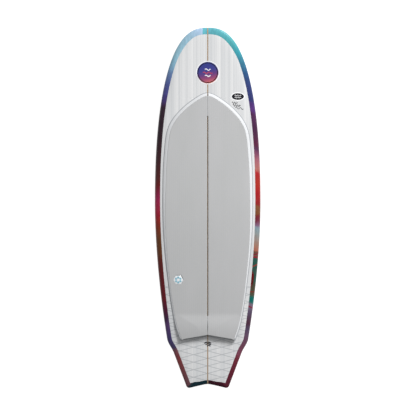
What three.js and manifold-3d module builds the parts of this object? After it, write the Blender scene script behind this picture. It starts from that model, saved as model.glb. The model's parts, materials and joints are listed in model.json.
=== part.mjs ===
// A short, wide wake-riding board with a swallow tail, a two-piece foam deck pad and three removable fins.
// Millimetres. Board axes: X across, Y along (nose at +Y), Z up. A station is a distance back from the nose.
import * as THREE from 'three';
import { mergeVertices } from 'three/addons/utils/BufferGeometryUtils.js';
import Module from 'manifold-3d';

const wasm = await Module();
wasm.setup();

// ---- driving dimensions -------------------------------------------------------------------------
const LENGTH = 1626;
const HALF_WIDTH = 239;
const WIDE_STATION = 790;
const GAP = 0.3; // clearance between touching pieces

const NOSE_POWER = { along: 2.3, across: 2.6 };
const WING = { start: 1404, startWidth: 183.5, end: 1467, endWidth: 153.2, startSlope: -0.165 };
const TAPER_POWER = 1.8;
const TAIL_TAPER = -0.379;
const TAIL_NOTCH = { station: 1608, slope: 0.245, round: 12 };
const CORNER_RADIUS = 14;

const THICKNESS = { nose: 20, middle: 50, tail: 19, power: 2.2 };
const ROCKER = { nose: 105, noseEnd: 720, nosePower: 2.2, tail: 30, tailStart: 980, tailPower: 1.8 };
const RAIL = { apex: 0.42, domeReach: 90, domePower: 5, tuckReach: 14 };
const BAND = { nose: 30, side: 24, rear: 21, tail: 18, noseBlend: 150, rearStart: 900, rearBlend: 500 };
const TUCK_SEAM = 7; // where the rail wrap meets the bottom skin

const STRINGER_WIDTH = 5;
const SKIN = 1.5;
const CORE_GAP = 0.8;

const PAD = { base: 4.2, face: 2, edge: 1, slot: 3, seam: 0.4 };
const BEVEL = { front: 16, rear: 8, end: 5, start: 500, blend: 800 };
const SLOT = { front: 397, rear: 1300 };
const SINK = 4; // how far a pad's blank starts inside the board before it is cut to the board's surface
const BELOW = 8; // how far a cutting prism starts below the board
const ROUND_SIDES = 16;
const WEDGE = {
  front: 1314, frontHeight: 1.5, frontWidth: 141, rearWidth: 114, setback: 6.5, centreGap: 4, steps: 6,
};
const KICK = {
  start: 1288, slope: 0.3, roll: 0.00125, soft: 14,
  wingHeight: 5.1, wingDrop: -0.06, wingRise: 0.116, wingX: 102, wingStation: 1320, leastShare: 0.4,
};

const FINS = {
  left: { station: 1322, x: -146, base: 108, depth: 106, rake: 62, tip: 22, cant: 5, toe: 2.5 },
  right: { station: 1322, x: 146, base: 108, depth: 106, rake: 62, tip: 22, cant: 5, toe: 2.5 },
  center: { station: 1478, x: 0, base: 96, depth: 92, rake: 58, tip: 20, cant: 0, toe: 0 },
};
const FIN_THICKNESS = 7;
const FIN_SHAPE = {
  taper: 1.35, tipRound: 7, leastTip: 0.03, sweep: 1.25, lean: 0.42, tipThickness: 0.35, rootSink: 3,
};
const FIN_FOIL = [[0, 0], [0.05, 0.5], [0.16, 0.85], [0.34, 1], [0.6, 0.75], [0.85, 0.35], [1, 0.08]];
const FIN_STEPS = { count: 9, closing: 1.4 };
const TAB = { thickness: 5.5, depth: 13, end: 3 };
const BOX = { width: 29, depth: 17, margin: 17, slotClearance: 0.5, floor: 1 };
const SCREW = { radius: 2.4, length: 6.5, offset: 8.2, tilt: 20, spread: 0.27, sink: 0.8, socket: 1.3 };

const BADGE = { station: 202, radius: 48.5, thickness: 0.5, spokes: 28 };
const PAD_INLAY = { station: 1137, x: -133, radius: 22, thickness: 1, lift: 0.5 };

const COLOURS = {
  foam: 0xf1efe8, wood: 0xb39f88, deck: 0xe2e3e3, rail: 0x6a3450, bottom: 0xd9dadb,
  padFace: 0xbbbdbd, padBase: 0xe6e8ea, wedge: 0x5c6063, badge: 0x4a3c86, inlay: 0xb6c9ce,
  box: 0xededeb, fin: 0x26292c, screw: 0x9da1a5,
};

const yOf = (station) => LENGTH / 2 - station;
const clamp01 = (value) => Math.min(1, Math.max(0, value));
const smooth = (value) => clamp01(value) ** 2 * (3 - 2 * clamp01(value));
const mix = (a, b, t) => a + (b - a) * t;

// ---- plan outline (right half, x and station) ---------------------------------------------------
function nosePoint(t) {
  const angle = (t * Math.PI) / 2;
  const x = HALF_WIDTH * Math.sin(angle) ** (2 / NOSE_POWER.across);
  return [x, WIDE_STATION * (1 - Math.cos(angle) ** (2 / NOSE_POWER.along))];
}

function taperPoint(t) {
  const drop = (HALF_WIDTH - WING.startWidth) * t ** TAPER_POWER;
  return [HALF_WIDTH - drop, mix(WIDE_STATION, WING.start, t)];
}

function wingPoint(t) {
  const span = WING.end - WING.start;
  const [square, cube] = [t ** 2, t ** 3];
  const start = WING.startWidth * (2 * cube - 3 * square + 1);
  const end = WING.endWidth * (3 * square - 2 * cube);
  const slopes = WING.startSlope * (cube - 2 * square + t) + TAIL_TAPER * (cube - square);
  return [start + end + span * slopes, WING.start + span * t];
}

const notchStation = (x) => {
  const { station, slope, round } = TAIL_NOTCH;
  return station + slope * (Math.hypot(x, round) - round);
};

// The tail corner is an arc between the tail's straight side and its rear edge.
function tailCorner() {
  const side = new THREE.Vector2(TAIL_TAPER, 1).normalize();
  const rear = new THREE.Vector2(-1, -TAIL_NOTCH.slope).normalize();
  const reach = LENGTH + CORNER_RADIUS;
  const rearLine = (x) => notchStation(reach) + TAIL_NOTCH.slope * (x - reach);
  const sideAtRear = WING.endWidth + TAIL_TAPER * (rearLine(0) - WING.end);
  const cornerX = sideAtRear / (1 - TAIL_TAPER * TAIL_NOTCH.slope);
  const corner = new THREE.Vector2(cornerX, rearLine(cornerX));
  const turn = Math.acos(side.dot(rear));
  const back = CORNER_RADIUS * Math.tan(turn / 2);
  const from = corner.clone().addScaledVector(side, -back);
  const centre = from.clone().add(new THREE.Vector2(-side.y, side.x).multiplyScalar(CORNER_RADIUS));
  const startAngle = Math.atan2(from.y - centre.y, from.x - centre.x);
  return { from, centre, startAngle, turn };
}
const CORNER = tailCorner();

function cornerPoint(t) {
  const { centre, startAngle, turn } = CORNER;
  const angle = startAngle + turn * t;
  return [centre.x + CORNER_RADIUS * Math.cos(angle), centre.y + CORNER_RADIUS * Math.sin(angle)];
}

function sidePoint(t) {
  return [mix(WING.endWidth, CORNER.from.x, t), mix(WING.end, CORNER.from.y, t)];
}

function rearPoint(t) {
  const x = mix(cornerPoint(1)[0], 0, t);
  return [x, notchStation(x)];
}

// Walks the whole half outline; counts gives the steps on each of its six stretches.
function outline(counts) {
  const stretches = [nosePoint, taperPoint, wingPoint, sidePoint, cornerPoint, rearPoint];
  const points = [nosePoint(0)];
  stretches.forEach((stretch, index) => {
    for (let i = 1; i <= counts[index]; i += 1) points.push(stretch(i / counts[index]));
  });
  return points;
}
const OUTLINE = outline([160, 60, 20, 20, 12, 20]);

function distanceToPath(path, x, station) {
  let best = Infinity;
  for (let i = 1; i < path.length; i += 1) {
    const [ax, as] = path[i - 1];
    const [dx, ds] = [path[i][0] - ax, path[i][1] - as];
    const t = clamp01(((x - ax) * dx + (station - as) * ds) / (dx * dx + ds * ds));
    best = Math.min(best, Math.hypot(x - ax - t * dx, station - as - t * ds));
  }
  return best;
}
const edgeDistance = (x, station) => distanceToPath(OUTLINE, Math.abs(x), station);

// ---- board surfaces -----------------------------------------------------------------------------
function rocker(station) {
  const nose = Math.max(0, 1 - station / ROCKER.noseEnd);
  const tail = Math.max(0, (station - ROCKER.tailStart) / (LENGTH - ROCKER.tailStart));
  return ROCKER.nose * nose ** ROCKER.nosePower + ROCKER.tail * tail ** ROCKER.tailPower;
}

function thickness(station) {
  const forward = station < WIDE_STATION;
  const reach = forward ? WIDE_STATION : LENGTH - WIDE_STATION;
  const end = forward ? THICKNESS.nose : THICKNESS.tail;
  const away = clamp01(Math.abs(station - WIDE_STATION) / reach);
  return mix(THICKNESS.middle, end, away ** THICKNESS.power);
}

function deckHeight(x, station) {
  const inward = clamp01(edgeDistance(x, station) / RAIL.domeReach);
  const dome = Math.sqrt(1 - (1 - inward) ** RAIL.domePower);
  return rocker(station) + thickness(station) * mix(RAIL.apex, 1, dome);
}

function bottomHeight(x, station) {
  const inward = clamp01(edgeDistance(x, station) / RAIL.tuckReach);
  const tuck = 1 - Math.sqrt(1 - (1 - inward) ** 2);
  return rocker(station) + thickness(station) * RAIL.apex * tuck;
}

function bandWidth(station, onRearEdge) {
  if (onRearEdge) return BAND.tail;
  const front = mix(BAND.nose, BAND.side, smooth(station / BAND.noseBlend));
  return mix(front, BAND.rear, smooth((station - BAND.rearStart) / BAND.rearBlend));
}

// ---- ribs: each runs from a point beside the centreline out to a point of an outline ------------
const LEAST_LEAN = 0.35;
const DEEPEST = 0.8; // the most of a rib that an inset may take

function makeRibs(points, spineStations, innerX) {
  return points.map(([x, station], index) => {
    const before = points[Math.max(0, index - 1)];
    const after = points[Math.min(points.length - 1, index + 1)];
    const inward = new THREE.Vector2(before[1] - after[1], after[0] - before[0]).normalize();
    const spine = new THREE.Vector2(innerX(spineStations[index]), spineStations[index]);
    const edge = new THREE.Vector2(x, station);
    const along = spine.clone().sub(edge);
    const length = along.length();
    along.normalize();
    const lean = Math.max(LEAST_LEAN, along.dot(inward));
    return { edge, along, length, lean, reach: straightReach };
  });
}

// How far in along a rib an inset lies, where the outline runs nearly straight.
function straightReach(rib, inset) {
  return Math.min(inset / rib.lean, rib.length * DEEPEST);
}

// The same for the board's own outline, which bends at the tail: found by halving.
function boardReach(rib, inset) {
  if (inset === 0) return 0;
  let [near, far] = [0, rib.length * DEEPEST];
  for (let i = 0; i < 18; i += 1) {
    const middle = (near + far) / 2;
    const spot = rib.edge.clone().addScaledVector(rib.along, middle);
    if (edgeDistance(spot.x, spot.y) < inset) near = middle;
    else far = middle;
  }
  return far;
}

// A plan point at a given inset from the edge, or at a fraction of the way on from there to the spine.
function ribPoint(rib, inset, fraction) {
  const fromEdge = mix(rib.reach(rib, inset), rib.length, fraction);
  return rib.edge.clone().addScaledVector(rib.along, fromEdge);
}

const BOARD_COUNTS = [15, 7, 4, 2, 3, 3];
const SPINE = { front: 120, blend: 360, tailStart: 1440, rear: 1556 };

function boardRibs(centreX) {
  const points = outline(BOARD_COUNTS);
  points[0] = [centreX, points[0][1]];
  points[points.length - 1] = [centreX, points.at(-1)[1]];
  const lengths = [0];
  for (let i = 1; i < points.length; i += 1) {
    const past = points[i][1] > SPINE.tailStart || points[i - 1][1] > SPINE.tailStart;
    const step = Math.hypot(points[i][0] - points[i - 1][0], points[i][1] - points[i - 1][1]);
    lengths.push(lengths[i - 1] + (past ? step : 0));
  }
  const stations = points.map(([, station], i) => {
    if (lengths[i] > 0) return mix(SPINE.tailStart, SPINE.rear, lengths[i] / lengths.at(-1));
    return station + SPINE.front * (1 - smooth(station / SPINE.blend));
  });
  const ribs = makeRibs(points, stations, () => centreX);
  ribs.forEach((rib, i) => {
    rib.band = bandWidth(rib.edge.y, i > ribs.length - 1 - BOARD_COUNTS.at(-1));
    rib.reach = boardReach;
  });
  return ribs;
}

// Columns run from the spine out to the edge: [inset, fraction on to the spine]; 'band' insets differ by rib.
const INNER_FRACTIONS = [1, 0.55, 0.18, 0.06];
const RAIL_INSETS = [13, TUCK_SEAM, 3, 0.8, 0];
const DECK_EDGE = INNER_FRACTIONS.length;

function boardColumns(rib) {
  const columns = INNER_FRACTIONS.map((fraction) => [rib.band, fraction]);
  columns.push([rib.band + GAP / 2, 0], [rib.band - GAP / 2, 0]);
  return columns.concat(RAIL_INSETS.map((inset) => [inset, 0]));
}

// The full skin of one half as a grid: each row goes over the deck, round the rail and back under the board.
function boardGrid(centreX) {
  const ribs = boardRibs(centreX);
  return ribs.map((rib) => {
    const plan = boardColumns(rib).map(([inset, fraction]) => ribPoint(rib, inset, fraction));
    const lift = (height) => (p) => new THREE.Vector3(p.x, yOf(p.y), height(p.x, p.y));
    const under = plan.slice(0, -1).reverse().map(lift(bottomHeight));
    return plan.map(lift(deckHeight)).concat(under);
  });
}

// The surface normal at a point of a grid. Rows and columns that end on the centre plane keep it level there.
function gridNormal(grid, r, c) {
  const [endRow, endColumn] = [grid.length - 1, grid[0].length - 1];
  const between = (from, to) => grid[to[0]][to[1]].clone().sub(grid[from[0]][from[1]]);
  const acrossPlane = (first) => new THREE.Vector3(first ? 1 : -1, 0, 0);
  const inner = r === 0 ? 1 : endRow - 1;
  const rowEnd = r === 0 || r === endRow;
  const columnEnd = c === 0 || c === endColumn;
  const alongRows = rowEnd ? acrossPlane(r === 0) : between([r - 1, c], [r + 1, c]);
  if (!rowEnd && columnEnd) return alongRows.cross(acrossPlane(c === 0)).normalize();
  const before = c === 0 ? [inner, 0] : [r, c - 1];
  const after = c === endColumn ? [inner, endColumn] : [r, c + 1];
  return alongRows.cross(between(before, after)).normalize();
}

// Moves every grid point inwards along the surface normal; points on the centre plane stay on it, and the two
// columns beside a seam move the same way, so that the seam stays open.
function offsetGrid(grid, distance) {
  const [endRow, endColumn] = [grid.length - 1, grid[0].length - 1];
  const centreX = grid[0][0].x;
  const twin = (c) => {
    const near = Math.min(c, endColumn - c);
    if (near !== DECK_EDGE && near !== DECK_EDGE + 1) return c;
    const other = near === DECK_EDGE ? DECK_EDGE + 1 : DECK_EDGE;
    return c === near ? other : endColumn - other;
  };
  return grid.map((line, r) => line.map((point, c) => {
    const normal = gridNormal(grid, r, c).add(gridNormal(grid, r, twin(c))).normalize();
    const moved = point.clone().addScaledVector(normal, -distance);
    if (r === 0 || r === endRow || c === 0 || c === endColumn) moved.x = centreX;
    return moved;
  }));
}

// ---- closed solids ------------------------------------------------------------------------------
function closedGeometry(points, triangles) {
  const raw = new THREE.BufferGeometry();
  raw.setAttribute('position', new THREE.Float32BufferAttribute(points.flatMap((p) => [p.x, p.y, p.z]), 3));
  raw.setIndex(triangles.flat());
  const merged = mergeVertices(raw, 1e-4);
  const index = merged.getIndex().array;
  const kept = [];
  for (let i = 0; i < index.length; i += 3) {
    const [a, b, c] = [index[i], index[i + 1], index[i + 2]];
    if (a !== b && b !== c && c !== a) kept.push(a, b, c);
  }
  merged.setIndex(signedVolume(merged.getAttribute('position'), kept) < 0 ? kept.reverse() : kept);
  return merged;
}

function signedVolume(position, index) {
  const [a, b, c] = [new THREE.Vector3(), new THREE.Vector3(), new THREE.Vector3()];
  let total = 0;
  for (let i = 0; i < index.length; i += 3) {
    a.fromBufferAttribute(position, index[i]);
    b.fromBufferAttribute(position, index[i + 1]);
    c.fromBufferAttribute(position, index[i + 2]);
    total += a.dot(b.cross(c));
  }
  return total;
}

// Two matching grids of points, joined by walls round their edges.
function slab(outer, inner) {
  const rows = outer.length;
  const columns = outer[0].length;
  const at = (layer, r, c) => (layer * rows + r) * columns + c;
  const triangles = [];
  const quad = (a, b, c, d) => triangles.push([a, b, c], [a, c, d]);
  for (let r = 0; r < rows - 1; r += 1) {
    for (let c = 0; c < columns - 1; c += 1) {
      quad(at(0, r, c), at(0, r, c + 1), at(0, r + 1, c + 1), at(0, r + 1, c));
      quad(at(1, r, c), at(1, r + 1, c), at(1, r + 1, c + 1), at(1, r, c + 1));
    }
  }
  const rim = [];
  for (let c = 0; c < columns - 1; c += 1) rim.push([0, c]);
  for (let r = 0; r < rows - 1; r += 1) rim.push([r, columns - 1]);
  for (let c = columns - 1; c > 0; c -= 1) rim.push([rows - 1, c]);
  for (let r = rows - 1; r > 0; r -= 1) rim.push([r, 0]);
  rim.forEach(([r, c], i) => {
    const [nr, nc] = rim[(i + 1) % rim.length];
    quad(at(0, nr, nc), at(0, r, c), at(1, r, c), at(1, nr, nc));
  });
  return closedGeometry([...outer.flat(), ...inner.flat()], triangles);
}

const columnsOf = (grid, picked) => grid.map((row) => picked.map((column) => row[column]));

function range(from, to) {
  const step = Math.sign(to - from);
  return Array.from({ length: Math.abs(to - from) + 1 }, (_, i) => from + step * i);
}

function toManifold(geometry) {
  const bare = geometry.clone();
  ['normal', 'uv'].forEach((name) => bare.deleteAttribute(name));
  const merged = mergeVertices(bare, 1e-4);
  const vertProperties = new Float32Array(merged.getAttribute('position').array);
  const triVerts = new Uint32Array(merged.getIndex().array);
  return new wasm.Manifold(new wasm.Mesh({ numProp: 3, vertProperties, triVerts }));
}

function fromManifold(solid) {
  const { vertProperties, triVerts } = solid.simplify(0.004).getMesh();
  const geometry = new THREE.BufferGeometry();
  geometry.setAttribute('position', new THREE.Float32BufferAttribute(vertProperties, 3));
  geometry.setIndex(Array.from(triVerts));
  return geometry;
}

const takeAway = (solid, tools) => tools.reduce((rest, tool) => rest.subtract(tool), solid);
const cut = (geometry, tools) => fromManifold(takeAway(toManifold(geometry), tools));
const mirrored = (geometry) => {
  const copy = geometry.clone().scale(-1, 1, 1);
  copy.setIndex(Array.from(copy.getIndex().array).reverse());
  return copy;
};

const board = new THREE.Group();

function addPiece(name, geometry, colour, roughness, metalness = 0) {
  const shaded = geometry.index ? geometry.toNonIndexed() : geometry;
  shaded.computeVertexNormals();
  const material = new THREE.MeshStandardMaterial({ color: colour, roughness, metalness });
  const mesh = new THREE.Mesh(shaded, material);
  mesh.name = name;
  board.add(mesh);
  return mesh;
}

// ---- board halves: foam core, deck skin, rail wrap, bottom skin ---------------------------------
const CENTRE_X = STRINGER_WIDTH / 2 + GAP;
const OUTER = boardGrid(CENTRE_X);
const SKIN_INSIDE = offsetGrid(OUTER, SKIN);
const CORE = offsetGrid(OUTER, SKIN + CORE_GAP);
const LAST = OUTER[0].length - 1;
const APEX = LAST / 2;
const TUCK = APEX + RAIL_INSETS.length - 1 - RAIL_INSETS.indexOf(TUCK_SEAM);
const CORE_COLUMNS = [0, 1, 2, 3, 4, 6, 8, APEX];

function nudgedTuckSeam(grid) {
  return grid.map((row) => {
    const line = range(TUCK, LAST).map((column) => row[column]);
    line[0] = line[0].clone().lerp(line[1], (2 * GAP) / line[0].distanceTo(line[1]));
    return line;
  });
}

// The whole board as one solid, moved in from its surface by a distance: the skins of its two halves meet on the
// centre plane.
function grownHull(distance) {
  const right = distance === 0 ? boardGrid(0) : offsetGrid(boardGrid(0), distance);
  const left = right.map((row) => row.map((p) => new THREE.Vector3(-p.x, p.y, p.z)));
  return toManifold(slab(right, left));
}
const HULL = grownHull(0);

function coreHalf() {
  return slab(columnsOf(CORE, CORE_COLUMNS), columnsOf(CORE, CORE_COLUMNS.map((column) => LAST - column)));
}

function skinBetween(columns) {
  return slab(columnsOf(OUTER, columns), columnsOf(SKIN_INSIDE, columns));
}

function bottomHalf() {
  return slab(nudgedTuckSeam(OUTER), nudgedTuckSeam(SKIN_INSIDE));
}

// The stringer is the board's own side profile, cut from plywood and standing on edge.
function stringerPlank() {
  const grid = boardGrid(0);
  const deckLine = grid.map((row) => row[0]);
  const bellyLine = grid.map((row) => row[LAST]);
  const nose = grid[0].slice(1, LAST);
  const tail = grid.at(-1).slice(1, LAST).reverse();
  const loop = [...deckLine.reverse(), ...nose, ...bellyLine, ...tail];
  const profile = new THREE.Shape(loop.map((p) => new THREE.Vector2(p.y, p.z)));
  const plank = new THREE.ExtrudeGeometry(profile, { depth: STRINGER_WIDTH, bevelEnabled: false });
  const turn = new THREE.Matrix4().makeBasis(
    new THREE.Vector3(0, 1, 0), new THREE.Vector3(0, 0, 1), new THREE.Vector3(1, 0, 0));
  return plank.applyMatrix4(turn).translate(-STRINGER_WIDTH / 2, 0, 0);
}

// ---- fins, their boxes and clamping screws ------------------------------------------------------
// A fin's own frame: X across, Y towards the nose, Z up, with the bottom of the board at Z = 0.
function finFrame(fin) {
  const slope = (rocker(fin.station + 1) - rocker(fin.station - 1)) / 2;
  const side = Math.sign(fin.x);
  const [cant, toe] = [fin.cant, fin.toe].map((angle) => side * THREE.MathUtils.degToRad(angle));
  const turn = new THREE.Euler(-Math.atan(slope), -cant, toe, 'ZYX');
  const frame = new THREE.Matrix4().makeRotationFromEuler(turn);
  return frame.setPosition(fin.x, yOf(fin.station), bottomHeight(fin.x, fin.station));
}

function stadium(length, width, bottom, top) {
  const radius = width / 2;
  const straight = length / 2 - radius;
  const shape = new THREE.Shape();
  shape.absarc(0, straight, radius, 0, Math.PI);
  shape.absarc(0, -straight, radius, Math.PI, 2 * Math.PI);
  shape.closePath();
  const options = { depth: top - bottom, bevelEnabled: false, curveSegments: 6 };
  return new THREE.ExtrudeGeometry(shape, options).translate(0, 0, bottom);
}

const boxLength = (fin) => fin.base + 2 * BOX.margin;

function boxPocket(fin, frame) {
  const prism = stadium(boxLength(fin) + 2 * GAP, BOX.width + 2 * GAP, -BELOW, BOX.depth + GAP);
  return toManifold(prism.applyMatrix4(frame));
}

function screwFrames(fin) {
  return [1, -1].map((end) => {
    const place = new THREE.Matrix4().makeRotationY(THREE.MathUtils.degToRad(-SCREW.tilt));
    return place.setPosition(SCREW.offset, end * SCREW.spread * fin.base, SCREW.sink);
  });
}

function cylinder(radius, bottom, top, sides) {
  const turned = new THREE.CylinderGeometry(radius, radius, top - bottom, sides).rotateX(Math.PI / 2);
  return turned.translate(0, 0, (top + bottom) / 2);
}

function finBox(fin, frame) {
  const slotWidth = TAB.thickness + 2 * BOX.slotClearance;
  const slotLength = fin.base - 2 * TAB.end + 2 * BOX.slotClearance;
  const block = stadium(boxLength(fin), BOX.width, -BELOW, BOX.depth).applyMatrix4(frame);
  const body = toManifold(block).intersect(HULL);
  const slotDepth = TAB.depth + BOX.floor + BOX.slotClearance;
  const slot = toManifold(stadium(slotLength, slotWidth, -BELOW, slotDepth).applyMatrix4(frame));
  const bores = screwFrames(fin).map((place) => {
    const bore = cylinder(SCREW.radius + GAP, -BELOW, SCREW.length + GAP, ROUND_SIDES);
    return toManifold(bore.applyMatrix4(place).applyMatrix4(frame));
  });
  return fromManifold(takeAway(body, [slot, ...bores]));
}

function clampScrew() {
  const body = toManifold(cylinder(SCREW.radius, 0, SCREW.length, ROUND_SIDES));
  return fromManifold(body.subtract(toManifold(cylinder(SCREW.socket, -1, SCREW.length / 2, 6))));
}

// One foiled section of a fin at a depth below the board, as a closed ring of points.
function finSection(fin, drop) {
  const reach = clamp01(drop / fin.depth);
  const rounded = Math.sqrt(Math.max(FIN_SHAPE.leastTip, 1 - reach ** FIN_SHAPE.tipRound));
  const chord = mix(fin.base, fin.tip, reach ** FIN_SHAPE.taper) * rounded;
  const swept = fin.rake * reach ** FIN_SHAPE.sweep + (fin.base - fin.tip) * FIN_SHAPE.lean * reach ** 2;
  const lead = fin.base / 2 - swept;
  const half = (FIN_THICKNESS / 2) * mix(1, FIN_SHAPE.tipThickness, reach);
  const side = (sign) => FIN_FOIL.map(([along, wide]) => [sign * half * wide, lead - chord * along]);
  const back = side(-1).reverse().slice(0, -1);
  return side(1).concat(back).map(([x, y]) => new THREE.Vector3(x, y, -drop));
}

function finBlade(fin) {
  const { count: steps, closing } = FIN_STEPS;
  const drops = range(0, steps).map((i) => fin.depth * (1 - (1 - i / steps) ** closing));
  const sections = [-FIN_SHAPE.rootSink, ...drops].map((drop) => finSection(fin, drop));
  const count = sections[0].length;
  const triangles = [];
  for (let r = 0; r < sections.length - 1; r += 1) {
    for (let i = 0; i < count; i += 1) {
      const [a, b] = [r * count + i, r * count + ((i + 1) % count)];
      triangles.push([a, a + count, b + count], [a, b + count, b]);
    }
  }
  const half = (count - 1) / 2;
  const cap = (start, flip) => {
    for (let i = 0; i < half; i += 1) {
      const [a, b, c, d] = [i, i + 1, count - 1 - i, (count - i) % count].map((k) => start + k);
      [[a, b, c], [a, c, d]].forEach((face) => triangles.push(flip ? face.reverse() : face));
    }
  };
  cap(0, false);
  cap((sections.length - 1) * count, true);
  return closedGeometry(sections.flat(), triangles);
}

function finPiece(fin, frame, hullAround) {
  const blade = toManifold(finBlade(fin).applyMatrix4(frame)).subtract(hullAround);
  const tab = stadium(fin.base - 2 * TAB.end, TAB.thickness, -2, TAB.depth).applyMatrix4(frame);
  return fromManifold(blade.add(toManifold(tab)));
}

// ---- deck pad -----------------------------------------------------------------------------------
const PAD_EDGE = [
  [0, 289], [28, 298], [72, 325], [111, 356], [158, 408], [184, 462], [199.5, 588], [204.5, 740],
  [202.5, 905], [194.5, 1017], [182, 1130], [171, 1216], [156, 1306], [144, 1356], [127, 1404],
];
const PAD_REAR = { cornerX: 122, cornerStation: 1411, centreStation: 1390 };

function padRearLine(x) {
  return mix(PAD_REAR.centreStation, PAD_REAR.cornerStation, Math.abs(x) / PAD_REAR.cornerX);
}

function padOutline(sideSteps, rearSteps, startX) {
  const curve = new THREE.CatmullRomCurve3(PAD_EDGE.map(([x, station]) => new THREE.Vector3(x, station, 0)));
  const points = range(0, sideSteps).map((i) => curve.getPoint(i / sideSteps)).map((p) => [p.x, p.y]);
  points[0][0] = startX;
  points.push([PAD_REAR.cornerX, PAD_REAR.cornerStation]);
  for (let i = 1; i <= rearSteps; i += 1) {
    const x = mix(PAD_REAR.cornerX, startX, i / rearSteps);
    points.push([x, padRearLine(x)]);
  }
  return points;
}

// Height of the kick above the flat pad: a ramp up to the rear, with gentler planes at its two corners.
function kickHeight(x, station) {
  const behind = station - KICK.start;
  if (behind <= 0) return 0;
  const reach = Math.hypot(behind, KICK.soft) - KICK.soft;
  const ramp = KICK.slope * reach - KICK.roll * reach ** 2;
  const outward = KICK.wingDrop * (Math.abs(x) - KICK.wingX);
  const corner = KICK.wingHeight + outward + KICK.wingRise * (station - KICK.wingStation);
  return Math.max(0, Math.min(ramp, Math.max(corner, KICK.leastShare * ramp)));
}

const bevelWidth = (station, onRearEdge) =>
  (onRearEdge ? BEVEL.end : mix(BEVEL.front, BEVEL.rear, smooth((station - BEVEL.start) / BEVEL.blend)));

// The face closes up to a seam at both ends of the slot; the base below it stays open all the way.
const faceEdge = (station) => (station > SLOT.front && station < SLOT.rear ? PAD.slot : PAD.seam);
const baseEdge = () => PAD.slot;

const PAD_STEPS = { side: 24, rear: 4 };
const PAD_SPINE = { front: 370, blend: 300, turn: 1330, rear: 1352 };

function padRibs(innerEdge) {
  const points = padOutline(PAD_STEPS.side, PAD_STEPS.rear, innerEdge(0));
  const corner = points.length - 1 - PAD_STEPS.rear;
  const lead = PAD_SPINE.front - points[0][1];
  const stations = points.map(([, station], i) => {
    if (i >= corner) return mix(PAD_SPINE.turn, PAD_SPINE.rear, (i - corner) / PAD_STEPS.rear);
    const pushed = station + lead * (1 - smooth((station - points[0][1]) / PAD_SPINE.blend));
    return Math.min(PAD_SPINE.turn - (corner - i), pushed);
  });
  const ribs = makeRibs(points, stations, innerEdge);
  ribs.forEach((rib, i) => {
    rib.bevel = bevelWidth(rib.edge.y, i >= corner);
  });
  return ribs;
}

// One layer of a pad half. Columns are [inset past the bevel, fraction]; a first inset of -1 is the outline.
function padLayer(ribs, columns, height) {
  return ribs.map((rib) => columns.map(([past, fraction]) => {
    const onOutline = past < 0;
    const p = ribPoint(rib, onOutline ? 0 : rib.bevel + past, fraction);
    return new THREE.Vector3(p.x, yOf(p.y), deckHeight(p.x, p.y) + height(p, onOutline));
  }));
}
const FACE_COLUMNS = [[0, 0], [9, 0], [9, 0.35], [9, 1]];
const BASE_COLUMNS = [[-1, 0], ...FACE_COLUMNS];

function padFaceHalf() {
  const ribs = padRibs(faceEdge);
  const under = PAD.base + 3 * GAP;
  const layer = (height) => padLayer(ribs, FACE_COLUMNS, (p) => height + kickHeight(p.x, p.y));
  return slab(layer(under + PAD.face), layer(under));
}

// The white base before its underside is cut to the deck: its bottom face starts inside the board.
function padBaseBlank() {
  const ribs = padRibs(baseEdge);
  const top = (p, onOutline) => GAP + (onOutline ? PAD.edge : PAD.base + kickHeight(p.x, p.y));
  return slab(padLayer(ribs, BASE_COLUMNS, top), padLayer(ribs, BASE_COLUMNS, () => -SINK));
}

// The harder foam wedge under the kick; grow widens it on every side, for the hollow that it fills.
function wedgeBlank(grow) {
  const layer = (height) => range(0, WEDGE.steps).map((i) => {
    const back = i / WEDGE.steps;
    const outer = grow + mix(WEDGE.frontWidth, WEDGE.rearWidth, smooth(back));
    return [0, 0.35, 0.7, 1].map((t) => {
      const x = mix(WEDGE.centreGap - grow, outer, t);
      const station = mix(WEDGE.front - grow, padRearLine(x) - WEDGE.setback + grow, back);
      return new THREE.Vector3(x, yOf(station), deckHeight(x, station) + height(x, station));
    });
  });
  const top = (x, station) => grow + Math.max(WEDGE.frontHeight, kickHeight(x, station));
  return slab(layer(top), layer(() => -SINK));
}

function hexagonPrism(radius, bottom, top) {
  const shape = new THREE.Shape(range(0, 5).map((i) => {
    const angle = (i * Math.PI) / 3;
    return new THREE.Vector2(radius * Math.cos(angle), radius * Math.sin(angle));
  }));
  const prism = new THREE.ExtrudeGeometry(shape, { depth: top - bottom, bevelEnabled: false });
  return prism.translate(0, 0, bottom);
}

// The hexagon inlay's own frame: it lies along the pad, with Z = 0 on top of the pad's base.
function inlayFrame() {
  const { x, station } = PAD_INLAY;
  const reach = PAD_INLAY.radius;
  const slopeX = (deckHeight(x + reach, station) - deckHeight(x - reach, station)) / (2 * reach);
  const slopeY = (deckHeight(x, station - reach) - deckHeight(x, station + reach)) / (2 * reach);
  const up = new THREE.Vector3(-slopeX, -slopeY, 1).normalize();
  const turn = new THREE.Quaternion().setFromUnitVectors(new THREE.Vector3(0, 0, 1), up);
  const frame = new THREE.Matrix4().makeRotationFromQuaternion(turn);
  return frame.setPosition(x, yOf(station), deckHeight(x, station) + GAP + PAD.base);
}

function noseBadge() {
  const layer = (height) => range(0, BADGE.spokes).map((i) => [0, 0.5, 1].map((reach) => {
    const angle = (2 * Math.PI * i) / BADGE.spokes;
    const x = BADGE.radius * reach * Math.cos(angle);
    const station = BADGE.station + BADGE.radius * reach * Math.sin(angle);
    return new THREE.Vector3(x, yOf(station), deckHeight(x, station) + height);
  }));
  return disc(layer(GAP + BADGE.thickness), layer(GAP));
}

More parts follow.
